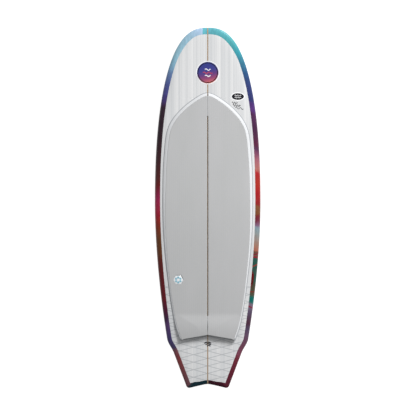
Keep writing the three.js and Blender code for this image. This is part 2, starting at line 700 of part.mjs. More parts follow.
// A round slab: the first and last spokes are the same line, and the inner column is one point.
function disc(outer, inner) {
  const spokes = outer.length - 1;
  const columns = outer[0].length;
  const at = (layer, r, c) => (layer * (spokes + 1) + r) * columns + c;
  const triangles = [];
  const quad = (a, b, c, d) => triangles.push([a, b, c], [a, c, d]);
  for (let r = 0; r < spokes; r += 1) {
    for (let c = 0; c < columns - 1; c += 1) {
      quad(at(0, r, c), at(0, r, c + 1), at(0, r + 1, c + 1), at(0, r + 1, c));
      quad(at(1, r, c), at(1, r + 1, c), at(1, r + 1, c + 1), at(1, r, c + 1));
    }
    quad(at(0, r + 1, columns - 1), at(0, r, columns - 1), at(1, r, columns - 1), at(1, r + 1, columns - 1));
  }
  return closedGeometry([...outer.flat(), ...inner.flat()], triangles);
}

// ---- assembly -----------------------------------------------------------------------------------
const frames = Object.fromEntries(Object.entries(FINS).map(([side, fin]) => [side, finFrame(fin)]));
const pockets = Object.entries(FINS).map(([side, fin]) => boxPocket(fin, frames[side]));

const halves = {
  foam_core: { geometry: coreHalf(), colour: COLOURS.foam, roughness: 0.9, pocketed: true },
  deck_skin: { geometry: skinBetween(range(0, DECK_EDGE)), colour: COLOURS.deck, roughness: 0.3 },
  rail_wrap: { geometry: skinBetween(range(DECK_EDGE + 1, TUCK)), colour: COLOURS.rail, roughness: 0.25 },
  bottom_skin: { geometry: bottomHalf(), colour: COLOURS.bottom, roughness: 0.3, pocketed: true },
};
for (const [name, piece] of Object.entries(halves)) {
  for (const side of ['right', 'left']) {
    const shape = side === 'left' ? mirrored(piece.geometry) : piece.geometry;
    const finished = piece.pocketed ? cut(shape, pockets) : shape;
    addPiece(`${name}_${side}`, finished, piece.colour, piece.roughness);
  }
}
addPiece('stringer', cut(stringerPlank(), [pockets[2]]), COLOURS.wood, 0.6);

const hullAround = grownHull(-GAP);
const faceRight = padFaceHalf();
const baseRight = cut(padBaseBlank(), [hullAround, toManifold(wedgeBlank(GAP))]);
const wedgeRight = cut(wedgeBlank(0), [hullAround]);
const inlayPlace = inlayFrame();
const inlayHole = hexagonPrism(PAD_INLAY.radius + GAP, -SINK, 2 * SINK).applyMatrix4(inlayPlace);
addPiece('pad_base_right', baseRight, COLOURS.padBase, 0.95);
addPiece('pad_base_left', mirrored(baseRight), COLOURS.padBase, 0.95);
addPiece('pad_face_right', faceRight, COLOURS.padFace, 0.95);
addPiece('pad_face_left', cut(mirrored(faceRight), [toManifold(inlayHole)]), COLOURS.padFace, 0.95);
addPiece('kick_wedge_right', wedgeRight, COLOURS.wedge, 0.95);
addPiece('kick_wedge_left', mirrored(wedgeRight), COLOURS.wedge, 0.95);
const inlay = hexagonPrism(PAD_INLAY.radius, PAD_INLAY.lift, PAD_INLAY.lift + PAD_INLAY.thickness);
addPiece('pad_inlay', inlay.applyMatrix4(inlayPlace), COLOURS.inlay, 0.4);
addPiece('nose_badge', noseBadge(), COLOURS.badge, 0.25);

for (const [side, fin] of Object.entries(FINS)) {
  const frame = frames[side];
  addPiece(`fin_box_${side}`, finBox(fin, frame), COLOURS.box, 0.5);
  addPiece(`fin_${side}`, finPiece(fin, frame, hullAround), COLOURS.fin, 0.35);
  screwFrames(fin).forEach((place, i) => {
    const screw = clampScrew().applyMatrix4(place).applyMatrix4(frame);
    addPiece(`fin_screw_${side}_${['front', 'rear'][i]}`, screw, COLOURS.screw, 0.35, 0.9);
  });
}

// ---- resting place: on its belly and the tips of the two side fins, centred on the origin -------
function lowest(names, pitch) {
  const height = (x, y, z) => y * Math.sin(pitch) + z * Math.cos(pitch);
  let low = Infinity;
  board.children.filter((mesh) => names.test(mesh.name)).forEach((mesh) => {
    const position = mesh.geometry.getAttribute('position');
    for (let i = 0; i < position.count; i += 1) {
      low = Math.min(low, height(position.getX(i), position.getY(i), position.getZ(i)));
    }
  });
  return low;
}

function restPitch() {
  let [low, high] = [-0.3, 0];
  for (let i = 0; i < 40; i += 1) {
    const middle = (low + high) / 2;
    if (lowest(/^fin_(left|right)$/, middle) > lowest(/^bottom_skin/, middle)) low = middle;
    else high = middle;
  }
  return (low + high) / 2;
}

board.rotation.x = restPitch();
board.updateMatrixWorld(true);
const bounds = new THREE.Box3().setFromObject(board, true);
board.position.set(0, -(bounds.min.y + bounds.max.y) / 2, -bounds.min.z);

const model = new THREE.Group();
model.add(board);
export default model;
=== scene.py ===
"""Looks for a wake-riding board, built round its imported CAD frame.

Shapes are worked out in millimetres in the board's own axes: X across, Y towards the nose and Z up. A
station is the distance back from the nose. The formulas are the CAD source's, and the shapes are then set
down in metres where the frame rests.
"""
import json
import math

import bmesh
import bpy
import numpy as np
from mathutils import Matrix, Vector


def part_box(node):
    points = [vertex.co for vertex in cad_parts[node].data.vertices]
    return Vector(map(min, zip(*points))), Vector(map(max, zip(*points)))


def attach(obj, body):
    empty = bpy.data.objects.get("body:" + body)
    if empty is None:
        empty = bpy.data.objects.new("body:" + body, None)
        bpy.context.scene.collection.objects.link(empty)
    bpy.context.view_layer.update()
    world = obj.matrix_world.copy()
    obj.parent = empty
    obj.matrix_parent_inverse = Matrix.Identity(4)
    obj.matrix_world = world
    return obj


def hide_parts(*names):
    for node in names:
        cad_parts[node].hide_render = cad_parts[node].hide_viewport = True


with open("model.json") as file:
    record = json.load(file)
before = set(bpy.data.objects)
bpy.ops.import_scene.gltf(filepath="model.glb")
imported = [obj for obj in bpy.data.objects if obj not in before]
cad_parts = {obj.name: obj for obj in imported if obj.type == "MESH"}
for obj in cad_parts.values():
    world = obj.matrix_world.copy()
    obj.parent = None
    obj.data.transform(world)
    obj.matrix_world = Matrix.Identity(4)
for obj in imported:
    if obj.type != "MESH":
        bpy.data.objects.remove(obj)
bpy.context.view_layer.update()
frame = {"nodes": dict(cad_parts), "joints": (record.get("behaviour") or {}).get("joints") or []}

# ---- driving dimensions, millimetres ----
LENGTH = 1626.0
HALF_WIDTH = 239.0
WIDE_STATION = 790.0
NOSE_ALONG, NOSE_ACROSS = 2.3, 2.6
WING_START, WING_START_WIDTH = 1404.0, 183.5
WING_END, WING_END_WIDTH = 1467.0, 153.2
WING_SLOPE, TAIL_TAPER, TAPER_POWER = -0.165, -0.379, 1.8
NOTCH_STATION, NOTCH_SLOPE, NOTCH_ROUND = 1608.0, 0.245, 12.0
CORNER_RADIUS = 14.0

THICK_NOSE, THICK_MIDDLE, THICK_TAIL, THICK_POWER = 20.0, 50.0, 19.0, 2.2
NOSE_ROCKER, NOSE_ROCKER_END, NOSE_ROCKER_POWER = 105.0, 720.0, 2.2
TAIL_ROCKER, TAIL_ROCKER_START, TAIL_ROCKER_POWER = 30.0, 980.0, 1.8
APEX, DOME_REACH, DOME_POWER, TUCK_REACH = 0.42, 90.0, 5.0, 14.0
BAND_NOSE, BAND_SIDE, BAND_REAR, BAND_TAIL = 30.0, 24.0, 21.0, 18.0
TUCK_SEAM = 7.0
SEAM = 0.05
SKIN = 1.5
HALF_STRINGER = 2.5

SPINE_FRONT, SPINE_BLEND, SPINE_TAIL, SPINE_REAR = 120.0, 360.0, 1440.0, 1556.0


def mix(a, b, t):
    return a + (b - a) * t


def clamp01(value):
    return np.clip(value, 0.0, 1.0)


def smooth(value):
    value = clamp01(value)
    return value * value * (3 - 2 * value)


# ---- plan outline ----
def notch_station(x):
    return NOTCH_STATION + NOTCH_SLOPE * (np.hypot(x, NOTCH_ROUND) - NOTCH_ROUND)


def tail_corner():
    """The arc at a tail tip: where it starts, its centre, its first angle and how far it turns."""
    side = np.array([TAIL_TAPER, 1.0]) / math.hypot(TAIL_TAPER, 1.0)
    rear = np.array([-1.0, -NOTCH_SLOPE]) / math.hypot(1.0, NOTCH_SLOPE)
    reach = LENGTH + CORNER_RADIUS
    rear_at_middle = notch_station(reach) - NOTCH_SLOPE * reach
    corner_x = (WING_END_WIDTH + TAIL_TAPER * (rear_at_middle - WING_END)) / (1 - TAIL_TAPER * NOTCH_SLOPE)
    corner = np.array([corner_x, rear_at_middle + NOTCH_SLOPE * corner_x])
    turn = math.acos(side @ rear)
    start = corner - side * CORNER_RADIUS * math.tan(turn / 2)
    centre = start + np.array([-side[1], side[0]]) * CORNER_RADIUS
    return start, centre, math.atan2(start[1] - centre[1], start[0] - centre[0]), turn


CORNER_START, CORNER_CENTRE, CORNER_ANGLE, CORNER_TURN = tail_corner()


def nose_point(t):
    x = HALF_WIDTH * np.sin(t * np.pi / 2) ** (2 / NOSE_ACROSS)
    return x, WIDE_STATION * (1 - np.maximum(np.cos(t * np.pi / 2), 0) ** (2 / NOSE_ALONG))


def taper_point(t):
    return HALF_WIDTH - (HALF_WIDTH - WING_START_WIDTH) * t**TAPER_POWER, mix(WIDE_STATION, WING_START, t)


def wing_point(t):
    span = WING_END - WING_START
    start = WING_START_WIDTH * (2 * t**3 - 3 * t**2 + 1) + span * WING_SLOPE * (t**3 - 2 * t**2 + t)
    end = WING_END_WIDTH * (3 * t**2 - 2 * t**3) + span * TAIL_TAPER * (t**3 - t**2)
    return start + end, WING_START + span * t


def side_point(t):
    return mix(WING_END_WIDTH, CORNER_START[0], t), mix(WING_END, CORNER_START[1], t)


def corner_point(t):
    angle = CORNER_ANGLE + CORNER_TURN * t
    return CORNER_CENTRE[0] + CORNER_RADIUS * np.cos(angle), CORNER_CENTRE[1] + CORNER_RADIUS * np.sin(angle)


def rear_point(t):
    x = mix(corner_point(1.0)[0], 0.0, t)
    return x, notch_station(x)


STRETCHES = (nose_point, taper_point, wing_point, side_point, corner_point, rear_point)


def outline(counts):
    """The right half of the outline from nose to notch: a row of x and station for each step."""
    rows = [np.stack(nose_point(np.zeros(1)), 1)]
    for stretch, count in zip(STRETCHES, counts):
        rows.append(np.stack(stretch(np.arange(1, count + 1) / count), 1))
    return np.concatenate(rows)


OUTLINE_COUNTS = (160, 60, 20, 20, 12, 20)
OUTLINE = outline(OUTLINE_COUNTS)
NEAREST_CHUNK = 4096  # points whose distances to the whole outline are found at one time


def running_length(points, counted=1.0):
    """Distance along a row of points from its first, over the steps that are counted."""
    return np.concatenate([[0], np.cumsum(np.linalg.norm(np.diff(points, axis=0), axis=1) * counted)])


def edge_distance(x, station):
    """Distance in plan from each point to the outline."""
    shape = np.broadcast(x, station).shape
    points = np.stack(np.broadcast_arrays(np.abs(x), station), -1).reshape(-1, 1, 2)
    start, step = OUTLINE[:-1], np.diff(OUTLINE, axis=0)
    best = np.empty(len(points))
    for first in range(0, len(points), NEAREST_CHUNK):
        some = slice(first, first + NEAREST_CHUNK)
        away = points[some] - start
        t = clamp01((away * step).sum(-1) / (step * step).sum(-1))
        best[some] = np.linalg.norm(away - t[..., None] * step, axis=-1).min(1)
    return best.reshape(shape)


# ---- board surfaces ----
def rocker(station):
    nose = np.maximum(0, 1 - station / NOSE_ROCKER_END)
    tail = np.maximum(0, (station - TAIL_ROCKER_START) / (LENGTH - TAIL_ROCKER_START))
    return NOSE_ROCKER * nose**NOSE_ROCKER_POWER + TAIL_ROCKER * tail**TAIL_ROCKER_POWER


def rocker_slope(station):
    return (rocker(station + 1) - rocker(station - 1)) / 2


def thickness(station):
    forward = station < WIDE_STATION
    reach = np.where(forward, WIDE_STATION, LENGTH - WIDE_STATION)
    end = np.where(forward, THICK_NOSE, THICK_TAIL)
    return mix(THICK_MIDDLE, end, clamp01(np.abs(station - WIDE_STATION) / reach) ** THICK_POWER)


def deck_height(x, station):
    inward = clamp01(edge_distance(x, station) / DOME_REACH)
    return rocker(station) + thickness(station) * mix(APEX, 1, np.sqrt(1 - (1 - inward) ** DOME_POWER))


def bottom_height(x, station):
    inward = clamp01(edge_distance(x, station) / TUCK_REACH)
    return rocker(station) + thickness(station) * APEX * (1 - np.sqrt(1 - (1 - inward) ** 2))


# ---- where the CAD set the board down ----
CENTER_FIN_STATION = 1478.0
STRINGER_STEPS = 400


def resting_place():
    """The board's pitch and place, from the way the middle fin slides out and from the stringer's box."""
    pull = next(j for j in frame["joints"] if j["name"] == "center_fin_pull")
    axis = Vector(pull["axis"]).normalized()
    pitch = math.atan(rocker_slope(CENTER_FIN_STATION)) - math.atan2(-axis.y, -axis.z)
    turn = Matrix.Rotation(pitch, 3, "X")
    stations = np.linspace(0, NOTCH_STATION, STRINGER_STEPS)
    heights = [bottom_height(0.0, stations), deck_height(0.0, stations)]
    spots = [turn @ Vector((0, LENGTH / 2 - s, z)) for h in heights for s, z in zip(stations, h)]
    spots = np.array(spots) / 1000
    low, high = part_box("stringer")
    return Matrix.Translation((0, high.y - spots[:, 1].max(), low.z - spots[:, 2].min())) @ turn.to_4x4()


REST = resting_place()


def to_world(points):
    """Board millimetres to metres in the frame."""
    turn = np.array(REST)[:3, :3]
    return (np.asarray(points, float) / 1000) @ turn.T + np.array(REST)[:3, 3]


# ---- meshes ----
SHARP = math.radians(32)


def shade(mesh):
    mesh.shade_smooth()
    mesh.set_sharp_from_angle(angle=SHARP)


WELD, SLIVER = 2e-6, 1e-7  # metres: points this near are joined, and shorter edges are taken out


def link_new(name, data):
    thing = bpy.data.objects.new(name, data)
    bpy.context.scene.collection.objects.link(thing)
    return thing


def new_object(name, points, faces, values=None):
    """A closed object from points in board millimetres. Values are named numbers at its points."""
    mesh = bpy.data.meshes.new(name)
    mesh.from_pydata(to_world(points).tolist(), [], [list(map(int, f)) for f in faces])
    for key, numbers in (values or {}).items():
        layer = mesh.attributes.new(key, "FLOAT", "POINT")
        layer.data.foreach_set("value", np.asarray(numbers, np.float32).ravel())
    work = bmesh.new()
    work.from_mesh(mesh)
    bmesh.ops.remove_doubles(work, verts=work.verts, dist=WELD)
    bmesh.ops.dissolve_degenerate(work, dist=SLIVER, edges=work.edges)
    bmesh.ops.recalc_face_normals(work, faces=work.faces)
    work.to_mesh(mesh)
    work.free()
    return link_new(name, mesh)


def add_piece(name, shape, look, body="board", replaces=(), values=None):
    """A piece that rides on a body. Its shape is points and faces, and its look names a material."""
    piece = new_object(name, *shape, values)
    shade(piece.data)
    piece.data.materials.append(MATERIALS[look])
    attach(piece, body)
    if replaces:
        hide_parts(*replaces)
    return piece


def grid_faces(rows, columns, first=0, flip=False):
    index = first + np.arange(rows * columns).reshape(rows, columns)
    quads = np.stack([index[:-1, :-1], index[:-1, 1:], index[1:, 1:], index[1:, :-1]], -1).reshape(-1, 4)
    return quads[:, ::-1] if flip else quads


def slab(outer, inner):
    """Two matching grids of points joined by walls round their edges: points and faces."""
    rows, columns = outer.shape[:2]
    total = rows * columns
    index = np.arange(total).reshape(rows, columns)
    rim = np.concatenate([index[0, :-1], index[:-1, -1], index[-1, :0:-1], index[:0:-1, 0]])
    after = np.roll(rim, -1)
    walls = np.stack([after, rim, rim + total, after + total], -1)
    faces = np.concatenate([grid_faces(rows, columns), grid_faces(rows, columns, total, True), walls])
    return np.concatenate([outer.reshape(-1, 3), inner.reshape(-1, 3)]), faces


def loft(rings, capped=True):
    """Rings of points skinned one to the next: capped at both ends, or the last joined to the first."""
    count = rings.shape[1]
    index = np.arange(rings.shape[0] * count).reshape(-1, count)
    caps = [index[0][::-1], index[-1]] if capped else []
    if not capped:
        index = np.vstack([index, index[:1]])
    after = np.roll(index, -1, 1)
    sides = np.stack([index[:-1], after[:-1], after[1:], index[1:]], -1).reshape(-1, 4)
    return rings.reshape(-1, 3), [*sides, *caps]


def add_halves(group, name, shape, look, values=None):
    """The right and left pieces of one kind, from the right one's shape. A look may be one for each side."""
    points, faces = shape
    pieces = {}
    for side, across in (("right", 1.0), ("left", -1.0)):
        placed = points * np.array([across, 1.0, 1.0])
        side_look = look if look in MATERIALS else f"{look}_{side}"
        pieces[side] = add_piece(f"{group}_{name}_{side}", (placed, faces), side_look,
                                 replaces=[f"{name}_{side}"], values=values)
    return pieces


def lifted(plan, height):
    """Plan points as x and station, with a height, as board points."""
    return np.stack([plan[..., 0], LENGTH / 2 - plan[..., 1], height], -1)


def on_deck(plan, lift=0.0):
    """Board points above plan points, at a lift over the deck."""
    return lifted(plan, deck_height(plan[..., 0], plan[..., 1]) + lift)


def cut_away(piece, cutters):
    """Takes cutters' shapes out of a piece's mesh."""
    for cutter in cutters:
        modifier = piece.modifiers.new("cut", "BOOLEAN")
        modifier.object = cutter
        modifier.operation = "DIFFERENCE"
        modifier.solver = "EXACT"
    bpy.context.view_layer.update()
    result = bpy.data.meshes.new_from_object(piece.evaluated_get(bpy.context.evaluated_depsgraph_get()))
    piece.modifiers.clear()
    materials = list(piece.data.materials)
    piece.data = result
    piece.data.materials.clear()
    for material in materials:
        piece.data.materials.append(material)
    shade(piece.data)


# ---- materials ----
PAINT_GAIN = 0.80  # surface colour that the studio light brings out as white
NOISE_LOW, NOISE_HIGH = 0.3, 0.7  # nearly all of a noise's values lie between these


def linear(value):
    value = value / 255
    return value / 12.92 if value <= 0.04045 else ((value + 0.055) / 1.055) ** 2.4


def paint(red, green, blue):
    """A surface colour that looks like this one under the studio light."""
    return tuple(PAINT_GAIN * linear(v) for v in (red, green, blue)) + (1.0,)


class Shader:
    """A material being built: each method adds a node and gives back its output."""

    def __init__(self, name, roughness, **constants):
        self.material = bpy.data.materials.new(name)
        self.material.use_nodes = True
        self.tree = self.material.node_tree
        self.tree.nodes.clear()
        output = self.tree.nodes.new("ShaderNodeOutputMaterial")
        self.surface = self.tree.nodes.new("ShaderNodeBsdfPrincipled")
        self.tree.links.new(self.surface.outputs["BSDF"], output.inputs["Surface"])
        self.surface.inputs["Roughness"].default_value = roughness
        for socket, value in constants.items():
            self.surface.inputs[socket.replace("_", " ")].default_value = value
        self.board = self.board_coordinates()

    def add(self, kind, inputs=(), output=0, **settings):
        node = self.tree.nodes.new("ShaderNode" + kind)
        for key, value in settings.items():
            setattr(node, key, value)
        for key, value in dict(inputs).items():
            if isinstance(value, bpy.types.NodeSocket):
                self.tree.links.new(value, node.inputs[key])
            elif value is not None:
                node.inputs[key].default_value = value
        return node.outputs[output]

    def board_coordinates(self):
        """Board axes in metres: the piece's own coordinates turned back out of the resting place."""
        place = REST.inverted()
        here = self.add("TexCoord", output="Object")
        inputs = {"Vector": here, "Location": place.to_translation(), "Rotation": place.to_euler()}
        return self.add("Mapping", inputs, vector_type="POINT")

    def axis(self, name):
        return self.add("SeparateXYZ", {0: self.board}, output="XYZ".index(name))

    def station(self):
        """Distance back from the nose, in metres."""
        return self.math("SUBTRACT", LENGTH / 2000, self.axis("Y"))

    def attribute(self, name):
        return self.add("Attribute", output="Fac", attribute_name=name)

    def stretched(self, across, along, up=None):
        """Board coordinates scaled, so that noise of unit size has these lengths in millimetres."""
        scale = (1000 / across, 1000 / along, 1000 / (up or across))
        return self.add("Mapping", {"Vector": self.board, "Scale": scale}, vector_type="POINT")

    def noise(self, lengths, detail=3.0, rough=0.55):
        inputs = {"Vector": self.stretched(*lengths), "Scale": 1.0, "Detail": detail, "Roughness": rough}
        return self.add("TexNoise", inputs)

    def cells(self, size):
        """Distance from the middle of the nearest of many cells."""
        return self.add("TexVoronoi", {"Vector": self.stretched(size, size), "Scale": 1.0}, output="Distance")

    def math(self, operation, a, b=None, c=None):
        return self.add("Math", {0: a, 1: b, 2: c}, operation=operation)

    def apart(self, a, b):
        return self.math("ABSOLUTE", self.math("SUBTRACT", a, b))

    def both(self, a, share_a, b, share_b):
        """The sum of two values, each times its share."""
        return self.math("MULTIPLY_ADD", a, share_a, self.math("MULTIPLY", b, share_b))

    def remap(self, value, low, high, to_low=0.0, to_high=1.0, smoothly=False):
        kind = "SMOOTHSTEP" if smoothly else "LINEAR"
        inputs = {"Value": value, "From Min": low, "From Max": high, "To Min": to_low, "To Max": to_high}
        return self.add("MapRange", inputs, interpolation_type=kind, clamp=True)

    def spread(self, noise, low, high):
        """A noise taken to run from low to high."""
        return self.remap(noise, NOISE_LOW, NOISE_HIGH, low, high)

    def blend(self, factor, a, b, mode="MIX"):
        return self.add("Mix", {0: factor, 6: a, 7: b}, output=2, data_type="RGBA", blend_type=mode)

    def ramp(self, factor, stops):
        node = self.tree.nodes.new("ShaderNodeValToRGB")
        self.tree.links.new(factor, node.inputs[0])
        elements = node.color_ramp.elements
        elements[0].position, elements[0].color = stops[0]
        elements[1].position, elements[1].color = stops[-1]
        for position, colour in stops[1:-1]:
            elements.new(position).color = colour
        return node.outputs[0]

    def shaded(self, colour, share):
        """A colour times one number."""
        return self.blend(1.0, colour, self.add("CombineXYZ", {0: share, 1: share, 2: share}), "MULTIPLY")

    def bump(self, height, strength, distance):
        """Adds relief; distance is in millimetres."""
        inputs = {"Height": height, "Strength": strength, "Distance": distance / 1000}
        before = self.surface.inputs["Normal"].links
        if before:
            inputs["Normal"] = before[0].from_socket
        self.link("Normal", self.add("Bump", inputs))

    def link(self, socket, value):
        self.tree.links.new(value, self.surface.inputs[socket])

    def finish(self, colour, roughness):
        """Sets the colour and roughness of the surface, and gives back the finished material."""
        self.link("Base Color", colour)
        self.link("Roughness", roughness)
        return self.material


def streaks(shader, light, dark):
    """Lengthwise grain: broad soft bands with finer lines in them."""
    broad = shader.noise((30, 9000, 9000), detail=2.0)
    fine = shader.noise((6, 16000, 16000), rough=0.7)
    return shader.blend(shader.remap(shader.both(broad, 0.5, fine, 0.5), 0.4, 0.59), dark, light)


LATTICE_PITCH, LATTICE_SLOPE, LATTICE_START, LATTICE_SHOWS = 33.9, 0.266, 1166.0, 0.6
LATTICE_EDGE = (0.43, 0.475)  # where a line starts and is full, as shares of a pitch from the gap's middle
LATTICE_INK = (150, 154, 158)


def lattice(shader):
    """Crossing lines under the glass at the tail: 1 on a line."""
    x = shader.math("ABSOLUTE", shader.axis("X"))
    lines = []
    for sign in (1, -1):
        along = shader.math("MULTIPLY_ADD", x, sign * LATTICE_SLOPE, shader.station())
        turn = shader.math("FRACT", shader.math("DIVIDE", along, LATTICE_PITCH / 1000))
        lines.append(shader.remap(shader.apart(turn, 0.5), *LATTICE_EDGE, smoothly=True))
    start = shader.remap(shader.station(), (LATTICE_START - 2) / 1000, (LATTICE_START + 2) / 1000)
    return shader.math("MULTIPLY", shader.math("MAXIMUM", lines[0], lines[1]), start)


TAIL_GLASS = (0.95, 1.5)  # metres back from the nose over which the glass turns to its look at the tail


def glass_skin(name, light, dark, tail_light, tail_dark):
    shader = Shader(name, 0.25, Coat_Weight=0.5, Coat_Roughness=0.12, Specular_IOR_Level=0.4)
    rearward = shader.remap(shader.station(), *TAIL_GLASS)
    colour = shader.blend(rearward, streaks(shader, light, dark), streaks(shader, tail_light, tail_dark))
    lines = shader.math("MULTIPLY", lattice(shader), LATTICE_SHOWS)
    wavy = shader.noise((60, 90), detail=2.0)
    shader.bump(wavy, 0.25, 0.4)
    return shader.finish(shader.blend(lines, colour, paint(*LATTICE_INK)), shader.spread(wavy, 0.2, 0.32))


# Rail art: colours at stations down the side, then at shares of the way along the rear edge.
RAIL_LEFT = (
    (0, (166, 186, 214)), (40, (150, 184, 202)), (120, (142, 184, 200)), (165, (129, 170, 193)),
    (208, (103, 126, 168)), (252, (82, 91, 146)), (310, (76, 70, 130)), (334, (76, 60, 110)),
    (352, (66, 46, 72)), (366, (60, 44, 56)), (480, (54, 42, 49)), (600, (70, 44, 48)),
    (680, (90, 46, 46)), (714, (116, 40, 42)), (741, (132, 40, 66)), (775, (160, 44, 86)),
    (823, (166, 48, 72)), (850, (156, 38, 54)), (877, (150, 50, 44)), (912, (128, 60, 42)),
    (958, (108, 68, 44)), (1025, (106, 64, 42)), (1060, (100, 42, 40)), (1230, (106, 32, 42)),
    (1290, (82, 36, 62)), (1318, (70, 48, 78)), (1347, (92, 66, 112)), (1401, (72, 64, 108)),
    (1446, (76, 68, 104)), (1456, (118, 78, 88)), (1500, (134, 64, 66)), (1602, (108, 72, 78)),
)
RAIL_RIGHT = (
    (0, (96, 168, 180)), (54, (88, 172, 178)), (105, (72, 168, 182)), (145, (76, 142, 168)),
    (200, (60, 100, 146)), (255, (64, 76, 130)), (325, (64, 68, 122)), (338, (92, 64, 130)),
    (372, (102, 64, 134)), (390, (96, 56, 96)), (462, (84, 50, 80)), (500, (98, 54, 82)),
    (530, (108, 50, 76)), (548, (100, 62, 94)), (566, (140, 80, 112)), (600, (180, 110, 126)),
    (645, (204, 130, 120)), (652, (194, 52, 58)), (700, (192, 64, 52)), (750, (190, 46, 50)),
    (798, (166, 52, 52)), (806, (146, 92, 62)), (844, (140, 88, 58)), (850, (134, 46, 54)),
    (872, (130, 60, 78)), (892, (146, 112, 142)), (902, (148, 172, 184)), (931, (160, 168, 168)),
    (985, (182, 138, 120)), (1010, (196, 116, 96)), (1014, (120, 84, 72)), (1036, (126, 100, 84)),
)
RAIL_RIGHT_REAR = (
    (1036, (126, 100, 84)), (1042, (46, 98, 88)), (1095, (60, 90, 80)), (1150, (50, 98, 88)),
    (1168, (88, 82, 66)), (1212, (98, 90, 72)), (1217, (22, 120, 112)), (1242, (22, 122, 114)),
    (1246, (148, 128, 148)), (1284, (108, 94, 120)), (1306, (102, 78, 100)), (1338, (96, 60, 78)),
    (1362, (100, 84, 112)), (1392, (118, 90, 116)), (1419, (120, 82, 104)), (1473, (134, 76, 94)),
    (1500, (124, 54, 68)), (1555, (108, 44, 58)), (1602, (98, 42, 56)),
)
# Brush strokes over the right rail: station at the board's edge and at the deck, half width, then the colour.
RAIL_STROKES = (
    (1018, 1024, 3.0, (148, 42, 60)), (1034, 1034, 3.5, (160, 40, 58)), (1064, 1076, 2.2, (178, 60, 50)),
    (1190, 1190, 2.0, (150, 50, 50)), (1264, 1254, 2.4, (158, 50, 70)),
)
RAIL_BLOT = (1134, 24, 38, 13, (112, 30, 32))  # station and inset of its middle, half sizes, and colour
REAR_EDGE = {"left": ((0.0, (58, 58, 66)), (0.06, (26, 49, 58)), (1.0, (22, 46, 54))),
             "right": ((0.0, (96, 40, 54)), (0.1, (66, 27, 40)), (1.0, (56, 25, 35)))}
NOSE_SEAM = 20.0  # how far the right side's colour runs over the nose
RAIL_LEAN = 0.12  # how far the borders of the washes slant, for each unit of inset
RAIL_GLOSS = 0.006  # light that the clear coat adds to every colour
RAIL_DEPTH_LEFT = 0.95
RAIL_DEPTH_RIGHT = ((0, 120, 1390, 1470), (0.86, 0.62, 0.62, 0.78))  # stations, and the paint's depth at them
OUTLINE_RUN = running_length(OUTLINE)
SIDE_STEPS = sum(OUTLINE_COUNTS[:4]) + OUTLINE_COUNTS[4] // 2  # the side ends half way round the corner
SIDE_SHARE = OUTLINE_RUN[SIDE_STEPS] / OUTLINE_RUN[-1]


def run_at(station):
    """How far along the outline a station on the side lies, as a share of the whole."""
    run = np.interp(station, OUTLINE[:SIDE_STEPS, 1], OUTLINE_RUN[:SIDE_STEPS])
    return float(run / OUTLINE_RUN[-1])


def rail_colour(side, station, colour):
    """The right rail's middle leans into the light, so there its paint is deeper for the same look."""
    depth = np.interp(station, *RAIL_DEPTH_RIGHT) if side == "right" else RAIL_DEPTH_LEFT
    return tuple(max(0.0, float(depth) * value - RAIL_GLOSS) for value in paint(*colour)[:3]) + (1.0,)


REAR_EDGE_GAP = 0.002  # between the side's last colour and the rear edge's first


def side_wash(shader, side, where, stops):
    return shader.ramp(where, [(run_at(at), rail_colour(side, at, colour)) for at, colour in stops])


def rear_wash(shader, side, run):
    start = SIDE_SHARE + REAR_EDGE_GAP
    stops = [(mix(start, 1.0, t), rail_colour("left", 0, colour)) for t, colour in REAR_EDGE[side]]
    return shader.ramp(run, stops)


def over_strokes(shader, inset, wander, colour):
    """Thin slanted brush strokes and one blot, over the right rail's washes."""
    back = shader.math("ADD", shader.station(), shader.remap(wander, 0.2, 0.8, -0.004, 0.004))
    for edge, deck, half, stroke in RAIL_STROKES:
        middle = shader.math("MULTIPLY_ADD", inset, (deck - edge) / BAND_SIDE, edge / 1000)
        near = shader.remap(shader.apart(back, middle), (half + 0.8) / 1000, (half - 0.8) / 1000)
        colour = shader.blend(near, colour, rail_colour("right", edge, stroke))
    station, depth, along, across, blot = RAIL_BLOT
    over = shader.math("DIVIDE", shader.apart(back, station / 1000), along / 1000)
    out = shader.math("DIVIDE", shader.apart(inset, depth / 1000), across / 1000)
    over, out = shader.math("POWER", over, 2), shader.math("POWER", out, 2)
    reach = shader.math("SQRT", shader.math("ADD", over, out))
    return shader.blend(shader.remap(reach, 1.08, 0.92), colour, rail_colour("right", station, blot))


def right_washes(shader, where, inset, wander):
    front, rear = (side_wash(shader, "right", where, stops) for stops in (RAIL_RIGHT, RAIL_RIGHT_REAR))
    behind = shader.math("GREATER_THAN", where, run_at(RAIL_RIGHT_REAR[0][0]))
    return over_strokes(shader, inset, wander, shader.blend(behind, front, rear))


